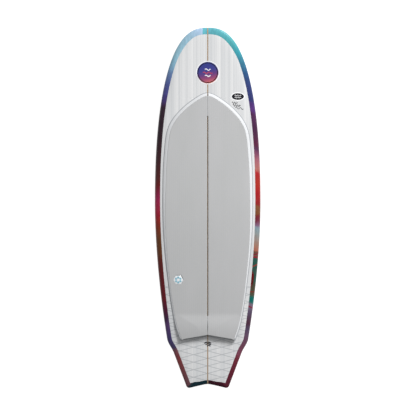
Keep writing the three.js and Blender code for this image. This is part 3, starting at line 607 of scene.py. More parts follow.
def rail_paint(side):
    """Washes of colour along the rail, with slightly wandering borders, under a clear gloss coat."""
    shader = Shader(f"rail_{side}", 0.4, Coat_Weight=0.1, Coat_Roughness=0.2, Specular_IOR_Level=0.1)
    run, inset = shader.attribute("rail_run"), shader.attribute("rail_inset")
    wander = shader.noise((30, 60))
    lean = shader.math("MULTIPLY_ADD", inset, RAIL_LEAN, shader.remap(wander, 0.2, 0.8, -0.005, 0.005))
    where = shader.math("ADD", run, lean)
    if side == "left":
        colour = side_wash(shader, side, where, RAIL_LEFT)
    else:
        colour = right_washes(shader, where, inset, wander)
    rearward = shader.math("GREATER_THAN", run, SIDE_SHARE)
    colour = shader.blend(rearward, colour, rear_wash(shader, side, run))
    if side == "left":
        leaning = shader.math("MULTIPLY_ADD", inset, -RAIL_LEAN, run)
        over_nose = shader.math("LESS_THAN", leaning, NOSE_SEAM / OUTLINE_RUN[-1])
        colour = shader.blend(over_nose, colour, rail_colour("left", 0, RAIL_RIGHT[0][1]))
    mottle = shader.noise((9, 30), detail=4.0, rough=0.6)
    soft = shader.noise((45, 70), detail=2.0)
    shader.bump(soft, 0.1, 0.3)
    colour = shader.shaded(colour, shader.spread(mottle, 0.86, 1.14))
    return shader.finish(colour, shader.spread(soft, 0.34, 0.46))


def wood():
    shader = Shader("stringer_wood", 0.45, Coat_Weight=0.4, Coat_Roughness=0.1)
    grain = shader.noise((0.9, 60, 0.9), detail=5.0, rough=0.7)
    broad = shader.noise((30, 240), detail=2.0)
    tone = shader.remap(shader.both(broad, 0.5, grain, 0.6), 0.35, 0.8)
    shader.bump(grain, 0.3, 0.1)
    colour = shader.blend(tone, paint(142, 116, 88), paint(176, 150, 120))
    return shader.finish(colour, shader.spread(grain, 0.35, 0.55))


KICK_PAINTED_SHADE = (1.328, 1.388, 1.0, 0.88)  # painted shade: between these metres from the nose the foam is painted darker, by these shares
# Painted shade: a dark band at the foot of the base's bevel, between these insets in metres, in this colour;
# then the rear face's colour, which is the kick's dark foam and painted shade.
RIM_SHADE_INSETS, RIM_SHADE_COLOUR, REAR_FOAM_AND_SHADE = (0.0026, 0.0036), (140, 143, 147), (130, 132, 134)


def grooved(shader, colour, dark, pitch):
    """Lengthwise grooves with painted shade in their bottoms, and painted shade that darkens the kick towards
    its rear.
    """
    wave = shader.math("SINE", shader.math("MULTIPLY", shader.axis("X"), 2 * math.pi * 1000 / pitch))
    # painted shade: the bottoms of the grooves are painted a little darker
    colour = shader.blend(shader.remap(wave, -1, -0.4, 0.08, 0.0, True), colour, dark)
    shader.bump(shader.remap(wave, -1, -0.2, 0.0, 1.0, True), 0.25, 0.35)
    # painted shade: the kick's foam is painted darker towards its rear
    return shader.shaded(colour, shader.remap(shader.station(), *KICK_PAINTED_SHADE))


def painted_rim_and_rear_shade(shader, colour):
    """Painted shade: a dark band along the foot of the bevel; and the rear face painted dark, as the kick's
    dark foam and as painted shade.
    """
    inset = shader.attribute("pad_inset")
    # painted shade: a dark band where the bevel meets the deck
    colour = shader.blend(shader.remap(inset, *RIM_SHADE_INSETS, 0.9, 0.0, True), colour, paint(*RIM_SHADE_COLOUR))
    # the rear face is painted dark: partly the kick's dark foam, partly painted shade behind the kick
    return shader.blend(shader.remap(inset, -0.6, -0.4, 1.0, 0.0), colour, paint(*REAR_FOAM_AND_SHADE))


def foam(name, light, dark, cell, groove=0.0, rim=False):
    """Closed-cell foam: fine pits, with lengthwise grooves and their painted shade, or a dark rim of painted
    shade, where it has them.
    """
    shader = Shader(name, 0.88, Sheen_Weight=0.12, Sheen_Roughness=0.6, Specular_IOR_Level=0.25)
    pits = shader.cells(cell)
    speckle = shader.noise((cell * 2.2, cell * 2.2), detail=4.0, rough=0.75)
    cloud = shader.noise((110, 420), detail=2.0)
    colour = shader.blend(shader.remap(shader.both(speckle, 0.55, cloud, 0.45), 0.36, 0.64), dark, light)
    if groove:
        colour = grooved(shader, colour, dark, groove)
    if rim:
        colour = painted_rim_and_rear_shade(shader, colour)
    shader.bump(pits, 0.35, 0.18)
    return shader.finish(colour, shader.spread(speckle, 0.8, 0.94))


def core_foam():
    shader = Shader("core_foam", 0.9, Specular_IOR_Level=0.2)
    beads, cloud = shader.cells(3.4), shader.noise((14, 14))
    colour = shader.blend(shader.both(beads, 0.5, cloud, 0.5), paint(246, 244, 236), paint(226, 223, 212))
    shader.bump(beads, 0.5, 0.5)
    return shader.finish(colour, shader.spread(cloud, 0.84, 0.96))


def moulded(name, light, dark, roughness, **constants):
    """Moulded plastic with a faint grain."""
    shader = Shader(name, roughness, **constants)
    grain, cloud = shader.noise((1.1, 1.1)), shader.noise((22, 40), detail=2.0)
    shader.bump(grain, 0.15, 0.08)
    colour = shader.blend(shader.spread(cloud, 0.0, 1.0), dark, light)
    return shader.finish(colour, shader.spread(grain, roughness - 0.07, roughness + 0.07))


WEAVE_PITCH = 0.004


def fin_composite():
    """Smoked composite with a cloth weave just under its surface."""
    shader = Shader("fin_composite", 0.28, Coat_Weight=0.5, Coat_Roughness=0.08)
    warp, weft = (shader.math("SINE", shader.math("MULTIPLY", shader.axis(name), 2 * math.pi / WEAVE_PITCH))
                  for name in "YZ")
    weave = shader.math("MULTIPLY", warp, weft)
    cloud = shader.noise((18, 30))
    tone = shader.remap(shader.math("MULTIPLY_ADD", weave, 0.16, cloud), 0.25, 0.8)
    colour = shader.blend(tone, paint(34, 37, 42), paint(72, 77, 84))
    shader.bump(weave, 0.12, 0.05)
    return shader.finish(colour, shader.spread(cloud, 0.22, 0.36))


def steel():
    shader = Shader("screw_steel", 0.32, Metallic=1.0)
    lathe = shader.noise((0.25, 0.25, 3.0))
    shader.bump(lathe, 0.15, 0.03)
    colour = shader.blend(lathe, (0.42, 0.43, 0.45, 1), (0.62, 0.63, 0.64, 1))
    return shader.finish(colour, shader.spread(lathe, 0.24, 0.42))


BADGE_STATION, BADGE_RADIUS = 202.0, 48.5
BADGE_DUSK = ((0.0, (44, 54, 124)), (0.4, (60, 60, 130)), (0.6, (98, 58, 116)),
              (0.78, (142, 68, 106)), (0.92, (182, 94, 104)), (1.0, (204, 116, 92)))


def badge_print():
    """A dusk gradient: blue at the top, through purple, to a warm lower right."""
    shader = Shader("badge_print", 0.4, Coat_Weight=0.15, Coat_Roughness=0.2, Specular_IOR_Level=0.2)
    down = shader.math("SUBTRACT", shader.station(), BADGE_STATION / 1000)
    slant = shader.math("MULTIPLY_ADD", shader.axis("X"), 0.22, down)
    slant = shader.math("DIVIDE", slant, BADGE_RADIUS / 1000)
    grain = shader.noise((3, 3))
    slant = shader.math("ADD", slant, shader.remap(grain, 0.2, 0.8, -0.05, 0.05))
    stops = [(share, paint(*colour)) for share, colour in BADGE_DUSK]
    shader.bump(grain, 0.1, 0.05)
    return shader.finish(shader.ramp(shader.remap(slant, -1, 1), stops), shader.spread(grain, 0.24, 0.38))


WHITE_SKIN = (paint(219, 219, 219), paint(193, 195, 197), paint(220, 220, 220), paint(203, 205, 207))
MATERIALS = {
    "deck": glass_skin("deck_glass", *WHITE_SKIN),
    "bottom": glass_skin("bottom_glass", *WHITE_SKIN),
    "rail_left": rail_paint("left"),
    "rail_right": rail_paint("right"),
    "wood": wood(),
    "face": foam("pad_face_foam", paint(179, 179, 180), paint(172, 173, 173), 1.3, groove=9.0),
    "base": foam("pad_base_foam", paint(210, 211, 213), paint(202, 204, 206), 1.3, rim=True),
    "wedge": foam("wedge_foam", paint(96, 99, 102), paint(78, 81, 84), 1.6),
    "core": core_foam(),
    "box": moulded("box_plastic", paint(240, 240, 238), paint(226, 226, 223), 0.45),
    "fin": fin_composite(),
    "steel": steel(),
    "badge": badge_print(),
    "ink": moulded("dark_ink", paint(34, 32, 40), paint(20, 19, 26), 0.45, Specular_IOR_Level=0.15),
    "vinyl": moulded("white_vinyl", paint(246, 246, 246), paint(234, 235, 236), 0.35, Coat_Weight=0.4),
    "red_ink": moulded("red_ink", paint(190, 62, 84), paint(168, 50, 74), 0.35, Coat_Weight=0.4),
    "inlay": moulded("inlay_resin", paint(240, 242, 243), paint(222, 227, 230), 0.3, Coat_Weight=0.6),
    "inlay_ink": moulded("inlay_ink", paint(150, 192, 204), paint(122, 172, 190), 0.3, Coat_Weight=0.6),
}


# ---- board halves ----
LEAST_LEAN, DEEPEST = 0.35, 0.8  # a rib slants no flatter than this, and its inset reaches no further in


def make_ribs(points, spine_stations, spine_x):
    """Ribs run in from points of an outline to points beside the centreline."""
    before = np.concatenate([points[:1], points[:-1]])
    after = np.concatenate([points[1:], points[-1:]])
    inward = np.stack([before[:, 1] - after[:, 1], after[:, 0] - before[:, 0]], 1)
    inward /= np.linalg.norm(inward, axis=1)[:, None]
    along = np.stack([spine_x, spine_stations], 1) - points
    length = np.linalg.norm(along, axis=1)
    along /= length[:, None]
    lean = np.maximum(LEAST_LEAN, (along * inward).sum(1))
    return {"edge": points, "along": along, "length": length, "lean": lean, "reach": straight_reach}


def straight_reach(ribs, inset):
    """How far in along each rib an inset lies, where the outline runs nearly straight."""
    return np.minimum(inset / ribs["lean"], ribs["length"] * DEEPEST)


HALVINGS = 18


def board_reach(ribs, inset):
    """How far in along each rib the board's outline is this far away: found by halving."""
    near, far = np.zeros(len(ribs["edge"])), ribs["length"] * DEEPEST
    for _ in range(HALVINGS):
        middle = (near + far) / 2
        spots = ribs["edge"] + ribs["along"] * middle[:, None]
        short = edge_distance(spots[:, 0], spots[:, 1]) < inset
        near, far = np.where(short, middle, near), np.where(short, far, middle)
    return far


def rib_points(ribs, inset, fraction):
    """Plan points at an inset from the edge, or a fraction of the way on from there to the spine."""
    out = ribs["reach"](ribs, inset)
    return ribs["edge"] + ribs["along"] * mix(out, ribs["length"], fraction)[:, None]


BOARD_COUNTS = (72, 40, 22, 10, 14, 18)
BAND_NOSE_END, BAND_REAR_START, BAND_REAR_BLEND = 150.0, 900.0, 500.0


def board_ribs(centre_x):
    points = outline(BOARD_COUNTS)
    points[0, 0] = points[-1, 0] = centre_x
    station = points[:, 1]
    run = running_length(points, np.maximum(station[1:], station[:-1]) > SPINE_TAIL)
    spine = station + SPINE_FRONT * (1 - smooth(station / SPINE_BLEND))
    spine = np.where(run > 0, mix(SPINE_TAIL, SPINE_REAR, run / run[-1]), spine)
    ribs = make_ribs(points, spine, np.full(len(points), centre_x))
    band = mix(BAND_NOSE, BAND_SIDE, smooth(station / BAND_NOSE_END))
    band = mix(band, BAND_REAR, smooth((station - BAND_REAR_START) / BAND_REAR_BLEND))
    rear = clamp01((np.arange(len(points)) - (len(points) - 1 - BOARD_COUNTS[-1])) / (BOARD_COUNTS[-1] / 3))
    return {**ribs, "band": mix(band, BAND_TAIL, rear), "reach": board_reach, "run": running_length(points)}


DECK_FRACTIONS = np.linspace(1, 0, 19) ** 1.4
RAIL_SHARES = (0.88, 0.74, 0.6, 0.47, 0.35)
EDGE_INSETS = (TUCK_SEAM, 5.2, 3.8, 2.7, 1.8, 1.1, 0.6, 0.25, 0.06, 0.0)
TUCK_INSETS = (8.5, 10.5, 12.5, 14.5, 18.0)
BELLY_INSETS = (TUCK_SEAM + SEAM, *TUCK_INSETS)
BELLY_FRACTIONS = np.linspace(0, 1, 13)[1:]


def board_plan(ribs):
    """Columns of plan points from the spine out to the edge, for the deck, the rail and the belly."""
    band = ribs["band"]

    def at_insets(insets):
        return [rib_points(ribs, np.full_like(band, inset), 0) for inset in insets]

    deck = [rib_points(ribs, band, f) for f in DECK_FRACTIONS]
    rail = [rib_points(ribs, band - SEAM, 0)] + [rib_points(ribs, band * t, 0) for t in RAIL_SHARES]
    rail += at_insets(EDGE_INSETS)
    under = at_insets(EDGE_INSETS[-2::-1])
    belly = at_insets(BELLY_INSETS)
    belly += [rib_points(ribs, np.full_like(band, BELLY_INSETS[-1]), f) for f in BELLY_FRACTIONS]
    return [np.stack(part, 1) for part in (deck, rail, under, belly)]


def offset_grid(grid, distance):
    """Every grid point moved inwards along the surface normal; points on the centre plane stay on it."""
    centre_x = grid[0, 0, 0]
    down_rows = np.empty_like(grid)
    down_rows[1:-1] = grid[2:] - grid[:-2]
    down_rows[0], down_rows[-1] = (1, 0, 0), (-1, 0, 0)
    over_columns = np.empty_like(grid)
    over_columns[:, 1:-1] = grid[:, 2:] - grid[:, :-2]
    over_columns[:, 0], over_columns[:, -1] = (1, 0, 0), (-1, 0, 0)
    for end, inner in ((0, 1), (-1, -2)):
        over_columns[end, 0] = grid[end, 1] - grid[inner, 0]
        over_columns[end, -1] = grid[inner, -1] - grid[end, -2]
    normal = np.cross(down_rows, over_columns)
    normal /= np.maximum(np.linalg.norm(normal, axis=-1), 1e-9)[..., None]
    moved = grid - normal * distance
    moved[0, :, 0] = moved[-1, :, 0] = moved[:, 0, 0] = moved[:, -1, 0] = centre_x
    return moved


CENTRE_X = HALF_STRINGER + SEAM


def board_shells():
    """The outer and inner grids of the right half's three skins, and the rails' attributes."""
    ribs = board_ribs(CENTRE_X)
    deck, rail, under, belly = board_plan(ribs)
    low = np.concatenate([under, belly], 1)
    outer = [on_deck(np.concatenate([deck, rail], 1)), lifted(low, bottom_height(low[..., 0], low[..., 1]))]
    outer = np.concatenate(outer, 1)
    inner = offset_grid(outer, SKIN)
    first, second = deck.shape[1], deck.shape[1] + rail.shape[1] + under.shape[1]
    insets = edge_distance(outer[:, first:second, 0], LENGTH / 2 - outer[:, first:second, 1])
    insets[:, rail.shape[1] :] *= -1
    run = np.repeat(ribs["run"][:, None] / ribs["run"][-1], second - first, 1)
    values = {"rail_run": np.stack([run, run]), "rail_inset": np.stack([insets, insets]) / 1000}
    cuts = (slice(0, first), slice(first, second), slice(second, outer.shape[1]))
    return [slab(outer[:, c], inner[:, c]) for c in cuts], values


def add_board_halves(pockets):
    (deck, rail, bottom), rail_values = board_shells()
    add_halves("board", "deck_skin", deck, "deck")
    add_halves("board", "rail_wrap", rail, "rail", rail_values)
    for piece in add_halves("board", "bottom_skin", bottom, "bottom").values():
        cut_away(piece, pockets)


# ---- stringer ----
STRINGER_EASE, STRINGER_STATIONS = 0.3, 140


def add_stringer(pocket):
    """A plank with the board's side profile and faintly eased edges."""
    ends = np.array([*EDGE_INSETS, *TUCK_INSETS])
    between = np.linspace(22, NOTCH_STATION - 22, STRINGER_STATIONS)
    stations = np.unique(np.concatenate([ends, NOTCH_STATION - ends, between]))
    top, low = deck_height(0.0, stations), bottom_height(0.0, stations)
    ease = np.minimum(STRINGER_EASE, (top - low) / 3)
    w, n = HALF_STRINGER, HALF_STRINGER - STRINGER_EASE
    corners = ((-n, top), (n, top), (w, top - ease), (w, low + ease), (n, low), (-n, low), (-w, low + ease),
               (-w, top - ease))
    rings = [lifted(np.stack([np.full_like(stations, x), stations], 1), z) for x, z in corners]
    piece = add_piece("board_stringer", loft(np.stack(rings, 1)), "wood", replaces=["stringer"])
    cut_away(piece, [pocket])


# ---- deck pad ----
PAD_BASE, PAD_FACE = 4.2, 2.0
FRONT_BEVEL, REAR_BEVEL, REAR_FACE = 16.0, 8.0, 5.0
SLOT_HALF, SLOT_FRONT, SLOT_REAR = 3.0, 397.0, 1300.0
PAD_SEAM, SEAM_OPEN, SEAM_OPENS, SEAM_OPEN_BLEND = 0.4, 2.0, 1312.0, 70.0
PAD_EDGE = ((0, 289), (28, 298), (72, 325), (111, 356), (158, 408), (184, 462), (199.5, 588), (204.5, 740),
            (202.5, 905), (194.5, 1017), (182, 1130), (171, 1216), (156, 1306), (144, 1356), (127, 1404))
PAD_CORNER_X, PAD_CORNER_STATION, PAD_CENTRE_STATION = 122.0, 1411.0, 1390.0
KICK_START, KICK_SLOPE, KICK_ROLL, KICK_SOFT = 1288.0, 0.3, 0.00125, 14.0
KICK_WING_HEIGHT, KICK_WING_DROP, KICK_WING_RISE, KICK_WING_LEAST = 5.1, -0.06, 0.116, 0.4
KICK_WING_X, KICK_WING_STATION = 102.0, 1320.0
PAD_STEPS, PAD_REAR_STEPS = 230, 36


def smooth_curve(knots, steps):
    """A centripetal curve through knots."""
    knots = np.array(knots, float)
    padded = np.vstack([2 * knots[0] - knots[1], knots, 2 * knots[-1] - knots[-2]])
    points = []
    for i in range(steps + 1):
        place = (len(knots) - 1) * i / steps
        k = min(int(place), len(knots) - 2)
        t = place - k
        p0, p1, p2, p3 = padded[k : k + 4]
        d0, d1, d2 = (math.sqrt(np.linalg.norm(b - a)) for a, b in ((p0, p1), (p1, p2), (p2, p3)))
        start = d1 * ((p1 - p0) / d0 - (p2 - p0) / (d0 + d1) + (p2 - p1) / d1)
        end = d1 * ((p2 - p1) / d1 - (p3 - p1) / (d1 + d2) + (p3 - p2) / d2)
        square, cube = 3 * (p2 - p1) - 2 * start - end, 2 * (p1 - p2) + start + end
        points.append(p1 + start * t + square * t**2 + cube * t**3)
    return np.array(points)


def pad_rear_line(x):
    return mix(PAD_CENTRE_STATION, PAD_CORNER_STATION, np.abs(x) / PAD_CORNER_X)


def kick_height(x, station):
    behind = np.maximum(0, station - KICK_START)
    reach = np.hypot(behind, KICK_SOFT) - KICK_SOFT
    ramp = KICK_SLOPE * reach - KICK_ROLL * reach**2
    corner = KICK_WING_DROP * (np.abs(x) - KICK_WING_X) + KICK_WING_RISE * (station - KICK_WING_STATION)
    corner = corner + KICK_WING_HEIGHT
    return np.maximum(0, np.minimum(ramp, np.maximum(corner, KICK_WING_LEAST * ramp)))


def face_edge(stations):
    """Where the face stops beside the centreline: a slot, with a closed seam ahead and an open one behind."""
    opening = mix(PAD_SEAM, SEAM_OPEN, clamp01((stations - SEAM_OPENS) / SEAM_OPEN_BLEND))
    seam = np.where(stations < SLOT_FRONT, PAD_SEAM, opening)
    return np.where((stations > SLOT_FRONT) & (stations < SLOT_REAR), SLOT_HALF, seam)


PAD_SPINE_PUSH, PAD_SPINE_BLEND, PAD_SPINE_CORNER = 81.0, 300.0, 1330.0
PAD_SPINE_CROWD, PAD_SPINE_REAR, SLOT_END_STEP = 24.0, 1352.0, 0.15
BEVEL_START, BEVEL_BLEND = 500.0, 800.0


def pad_ribs(inner_edge):
    side = smooth_curve(PAD_EDGE, PAD_STEPS)
    side[0, 0] = inner_edge(np.zeros(1))[0]
    x = mix(PAD_CORNER_X, side[0, 0], np.linspace(0, 1, PAD_REAR_STEPS + 1))
    points = np.concatenate([side, np.stack([x, pad_rear_line(x)], 1)])
    past_corner = np.arange(len(points)) - len(side)
    pushed = points[:, 1] + PAD_SPINE_PUSH * (1 - smooth((points[:, 1] - PAD_EDGE[0][1]) / PAD_SPINE_BLEND))
    front = np.minimum(PAD_SPINE_CORNER + past_corner * PAD_SPINE_CROWD / PAD_STEPS, pushed)
    rear = mix(PAD_SPINE_CORNER, PAD_SPINE_REAR, past_corner / PAD_REAR_STEPS)
    stations = np.where(past_corner >= 0, rear, front)
    for slot_end in (SLOT_FRONT, SLOT_REAR):
        first = int(np.argmax(stations > slot_end))
        stations[first - 1], stations[first] = slot_end - SLOT_END_STEP, slot_end + SLOT_END_STEP
    ribs = make_ribs(points, stations, inner_edge(stations))
    bevel = mix(FRONT_BEVEL, REAR_BEVEL, smooth((points[:, 1] - BEVEL_START) / BEVEL_BLEND))
    return {**ribs, "bevel": np.where(past_corner >= 0, REAR_FACE, bevel)}


FACE_INSETS = (0, 0.35, 0.9, 1.8, 3.5, 6, 9)
FACE_FRACTIONS = tuple(np.linspace(0, 1, 31)[1:])


def pad_columns(ribs, shares):
    """Plan points over the bevel at shares of its width, then on over the pad to the spine."""
    columns = [rib_points(ribs, ribs["bevel"] * t, 0) for t in shares]
    columns += [rib_points(ribs, ribs["bevel"] + inset, 0) for inset in FACE_INSETS]
    columns += [rib_points(ribs, ribs["bevel"] + FACE_INSETS[-1], f) for f in FACE_FRACTIONS]
    return np.stack(columns, 1)


def pad_deck(plan):
    """Deck height and kick height under plan points."""
    x, station = plan[..., 0], plan[..., 1]
    return deck_height(x, station), kick_height(x, station)


FACE_ROUND_OUT, FACE_ROUND_IN, FACE_CROWN = (0.7, 0.3, 0.08), 0.25, 0.5


def pad_face_half():
    plan = pad_columns(pad_ribs(face_edge), ())
    deck, kick = pad_deck(plan)
    rounded = np.zeros(plan.shape[1])
    rounded[: len(FACE_ROUND_OUT)] = FACE_ROUND_OUT
    rounded[-1] = FACE_ROUND_IN
    under = deck + kick + PAD_BASE + SEAM * 2
    return slab(lifted(plan, under + PAD_FACE + FACE_CROWN - rounded), lifted(plan, under))


WEDGE_FRONT, WEDGE_FRONT_WIDTH, WEDGE_REAR_WIDTH, WEDGE_SETBACK = 1314.0, 141.0, 114.0, 6.5
WEDGE_GAP, WEDGE_LEAST = 4.0, 1.5
HOLLOW_FRONT, HOLLOW_REAR, HOLLOW_SIDE, LEAST_BASE = 3.0, 1.2, 3.0, 0.2  # room round the wedge, and over it
RIM_LIFT = 0.35  # the share of the kick's rise that the base's outermost edge takes


def wedge_width(x, station):
    back = clamp01((station - WEDGE_FRONT) / (pad_rear_line(x) - WEDGE_SETBACK - WEDGE_FRONT))
    return mix(WEDGE_FRONT_WIDTH, WEDGE_REAR_WIDTH, smooth(back))


REAR_MARK = -1.0  # stands in for an inset on the rear face, which is painted dark: the kick's dark foam and painted shade
BEVEL_SHARES = (0.0, 0.03, 0.08, 0.3, 0.55, 0.8, 0.96)
BEVEL_HEIGHTS = (0.5, 0.9, 1.15, 2.8, 4.6, 6.1, 6.5)


def base_ribs():
    return pad_ribs(lambda stations: np.full_like(stations, SLOT_HALF))


def pad_base_half():
    """The white layer: a long bevel up from the deck, flat under the face, hollow over the kick's wedge."""
    plan = pad_columns(base_ribs(), BEVEL_SHARES)
    deck, kick = pad_deck(plan)
    height = np.full(plan.shape[1], PAD_BASE)
    height[: len(BEVEL_HEIGHTS)] = BEVEL_HEIGHTS
    x, station = plan[..., 0], plan[..., 1]
    on_wedge = (station > WEDGE_FRONT - HOLLOW_FRONT) & (x < wedge_width(x, station) + HOLLOW_SIDE)
    on_wedge &= station < pad_rear_line(x) - WEDGE_SETBACK + HOLLOW_REAR
    under = np.where(on_wedge, np.maximum(WEDGE_LEAST, kick) + SEAM, 0.0) + SEAM
    lift = np.where(np.arange(plan.shape[1]) < 1, RIM_LIFT, 1.0) * kick
    low = deck + np.minimum(under, height + lift - LEAST_BASE)
    return slab(lifted(plan, deck + lift + height), lifted(plan, low))


def base_insets():
    """How far in from the rim each point of the base lies, in metres, with the rear face marked."""
    bevel = base_ribs()["bevel"]
    shares = np.array([*BEVEL_SHARES, *np.ones(len(FACE_INSETS) + len(FACE_FRACTIONS))])
    insets = np.where((bevel == REAR_FACE)[:, None], REAR_MARK, shares * bevel[:, None] / 1000)
    return {"pad_inset": np.stack([insets, insets])}


def wedge_half():
    back, out = np.linspace(0, 1, 31)[:, None], np.linspace(0, 1, 37)[None, :]
    x = mix(WEDGE_GAP, mix(WEDGE_FRONT_WIDTH, WEDGE_REAR_WIDTH, smooth(back)), out)
    station = mix(WEDGE_FRONT, pad_rear_line(x) - WEDGE_SETBACK, back)
    plan = np.stack([x, station], -1)
    deck, kick = pad_deck(plan)
    return slab(lifted(plan, deck + np.maximum(WEDGE_LEAST, kick)), lifted(plan, deck + SEAM))


def add_pads(inlay_hole):
    """The pad's three layers, which are dense foam that lies flat and doesn't sag."""
    base = add_halves("foam", "pad_base", pad_base_half(), "base", base_insets())
    face = add_halves("foam", "pad_face", pad_face_half(), "face")
    wedge = add_halves("foam", "kick_wedge", wedge_half(), "wedge")
    cut_away(face["left"], [inlay_hole])


# ---- prints and inlay ----
PATCH_RINGS = ((1.0, 1.0), (0.992, 0.25), (0.97, 0.0), (0.75, 0.0), (0.5, 0.0), (0.25, 0.0), (0.04, 0.0))


def deck_patch(rim, low, high, ease):
    """A thin patch with a rounded edge that follows the deck."""
    centre = rim.mean(0)
    plans = [centre + (rim - centre) * share for share, _ in PATCH_RINGS]
    top = [on_deck(plan, high) - (0, 0, drop * ease) for plan, (_, drop) in zip(plans, PATCH_RINGS)]
    return loft(np.stack([*(on_deck(plan, low) for plan in plans[::-1]), *top]))


def ellipse(x, station, across, along, count=72):
    angle = np.arange(count) * 2 * np.pi / count
    return np.stack([x + across * np.cos(angle), station + along * np.sin(angle)], 1)


RING_EASE = 0.15


def deck_ring(x, station, inner, outer, low, high):
    """A flat ring on the deck."""
    middle = mix(low, high, 0.6)
    half = ((outer, low), (outer, middle), (outer - RING_EASE, high))
    section = (*half, (inner + RING_EASE, high), (inner, middle), (inner, low))
    rings = [on_deck(ellipse(x, station, radius, radius), lift) for radius, lift in section]
    return loft(np.stack(rings), capped=False)


LEAST_STROKE = 0.06  # half a stroke's width at its very end, as a share of the whole


def deck_ribbon(path, width, low, high):
    """A painted stroke on the deck: path is plan points, and its ends are rounded."""
    step = np.gradient(path, axis=0)
    step /= np.linalg.norm(step, axis=1)[:, None]
    across = np.stack([-step[:, 1], step[:, 0]], 1)
    run = running_length(path)
    from_end = clamp01(np.minimum(run, run[-1] - run) / (width / 2))
    half = width * np.maximum(np.sqrt(1 - (1 - from_end) ** 2) / 2, LEAST_STROKE)[:, None]
    left, right = path - across * half, path + across * half
    corners = [on_deck(plan, lift) for plan, lift in ((left, low), (right, low), (right, high), (left, high))]
    return loft(np.stack(corners, 1))


def wave_path(x, station, length, height, waves, count=48):
    t = np.linspace(0, 1, count)
    return np.stack([x + length * (t - 0.5), station - height * np.sin(2 * np.pi * waves * t)], 1)


def add_nose_badge():
    """A round print with a dark ring and three plain wave lines, on a white keyline."""
    middle = (0, BADGE_STATION)
    rim = ellipse(*middle, BADGE_RADIUS, BADGE_RADIUS, 96)
    keyline = deck_ring(*middle, BADGE_RADIUS + 0.2, BADGE_RADIUS + 4.4, 0.06, 0.3)
    add_piece("badge_disc", deck_patch(rim, 0.06, 0.8, 0.5), "badge", replaces=["nose_badge"])
    add_piece("badge_keyline", keyline, "vinyl")
    add_piece("badge_ring", deck_ring(*middle, 42.2, 45.8, 0.78, 0.95), "ink")
    rows = ((-14.0, 26.0, "vinyl"), (0.0, 44.0, "red_ink"), (14.0, 26.0, "vinyl"))
    for number, (lift, length, look) in enumerate(rows, 1):
        path = wave_path(0, BADGE_STATION + lift, length, 3.2, length / 22)
        add_piece(f"badge_wave_{number}", deck_ribbon(path, 3.6, 0.78, 0.98), look)


OVAL_X, OVAL_STATION = 136.0, 309.0
# Half sizes across and along, then the lowest and highest point above the deck.
OVAL_LAYERS = (("oval_keyline", 31.5, 19.0, 0.05, 0.16, "vinyl"),
               ("oval_print", 27.5, 15.0, 0.17, 0.28, "ink"))
# X and station of the middle, length, height of the waves, and how many there are.
BRUSH_STROKES = ((122, 338, 26, 3.4, 2.5), (131, 350, 34, 4.2, 3.5), (143, 362, 36, 3.8, 2.0))
BRUSH_SLANT = 0.12
TAIL_MARK_STATION, TAIL_ARCHES = 1418.0, ((0.0, 32.0), (7.0, 24.0), (14.0, 15.0))


def add_deck_marks():
    """A dark oval with two plain waves in it, loose brush strokes below it, and a small mark at the tail."""
    for name, across, along, low, high, look in OVAL_LAYERS:
        rim = ellipse(OVAL_X, OVAL_STATION, across, along)
        add_piece(f"mark_{name}", deck_patch(rim, low, high, 0.05), look)
    for number, lift in enumerate((-4.5, 4.5), 1):
        path = wave_path(OVAL_X, OVAL_STATION + lift, 34 - abs(lift), 2.2, 2.5)
        add_piece(f"mark_oval_wave_{number}", deck_ribbon(path, 1.8, 0.29, 0.36), "vinyl")
    for number, (x, station, length, height, waves) in enumerate(BRUSH_STROKES, 1):
        path = wave_path(x, station, length, height, waves, 72)
        path[:, 1] += BRUSH_SLANT * (path[:, 0] - x)
        add_piece(f"mark_stroke_{number}", deck_ribbon(path, 2.3, 0.05, 0.13), "ink")
    t = np.linspace(-1, 1, 36)
    for number, (lift, length) in enumerate(TAIL_ARCHES, 1):
        arch = np.stack([length / 2 * t + lift * 0.3, TAIL_MARK_STATION + lift + 6.0 * t * t], 1)
        add_piece(f"mark_tail_{number}", deck_ribbon(arch, 5.0, 0.05, 0.14), "ink")


INLAY_X, INLAY_STATION, INLAY_RADIUS, INLAY_LIFT, INLAY_TOP = -133.0, 1137.0, 22.0, 0.5, 1.5
INLAY_BED = 0.3  # between the pad's base and the deck
INLAY_GAP, INLAY_GAP_SHIFT = 2.0, (1.2, 1.4, 0)  # the hole is wider than the plate, and off its middle
CELL_RADIUS, CELL_REACH, CELL_SINK, CELL_PROUD = 5.6, 11.2, 0.1, 0.18


def inlay_place():
    """The hexagon's own axes: lying along the pad, with zero height on top of the pad's base."""
    x, station, reach = INLAY_X, INLAY_STATION, INLAY_RADIUS
    slope_x = (deck_height(x + reach, station) - deck_height(x - reach, station)) / (2 * reach)
    slope_y = (deck_height(x, station - reach) - deck_height(x, station + reach)) / (2 * reach)
    turn = Vector((0, 0, 1)).rotation_difference(Vector((-slope_x, -slope_y, 1)).normalized())
    spot = (x, LENGTH / 2 - station, float(deck_height(x, station)) + INLAY_BED + PAD_BASE)
    return Matrix.Translation(spot) @ turn.to_matrix().to_4x4()


def placed_by(matrix, points, shift=(0, 0, 0)):
    m = np.array(matrix)
    return (np.asarray(points, float) + shift) @ m[:3, :3].T + m[:3, 3]


def hexagon(radius, low, high, ease=0.0, turn=0.0):
    """A six-sided prism with an eased top edge."""
    angle = turn + np.arange(6) * np.pi / 3
    section = [(radius - ease * inward, high - ease * down) for inward, down in ((0, 1), (0.4, 0.3), (1, 0))]
    rings = [(r * np.cos(angle), r * np.sin(angle), np.full(6, z)) for r, z in ((radius, low), *section)]
    return loft(np.stack(rings).swapaxes(1, 2))


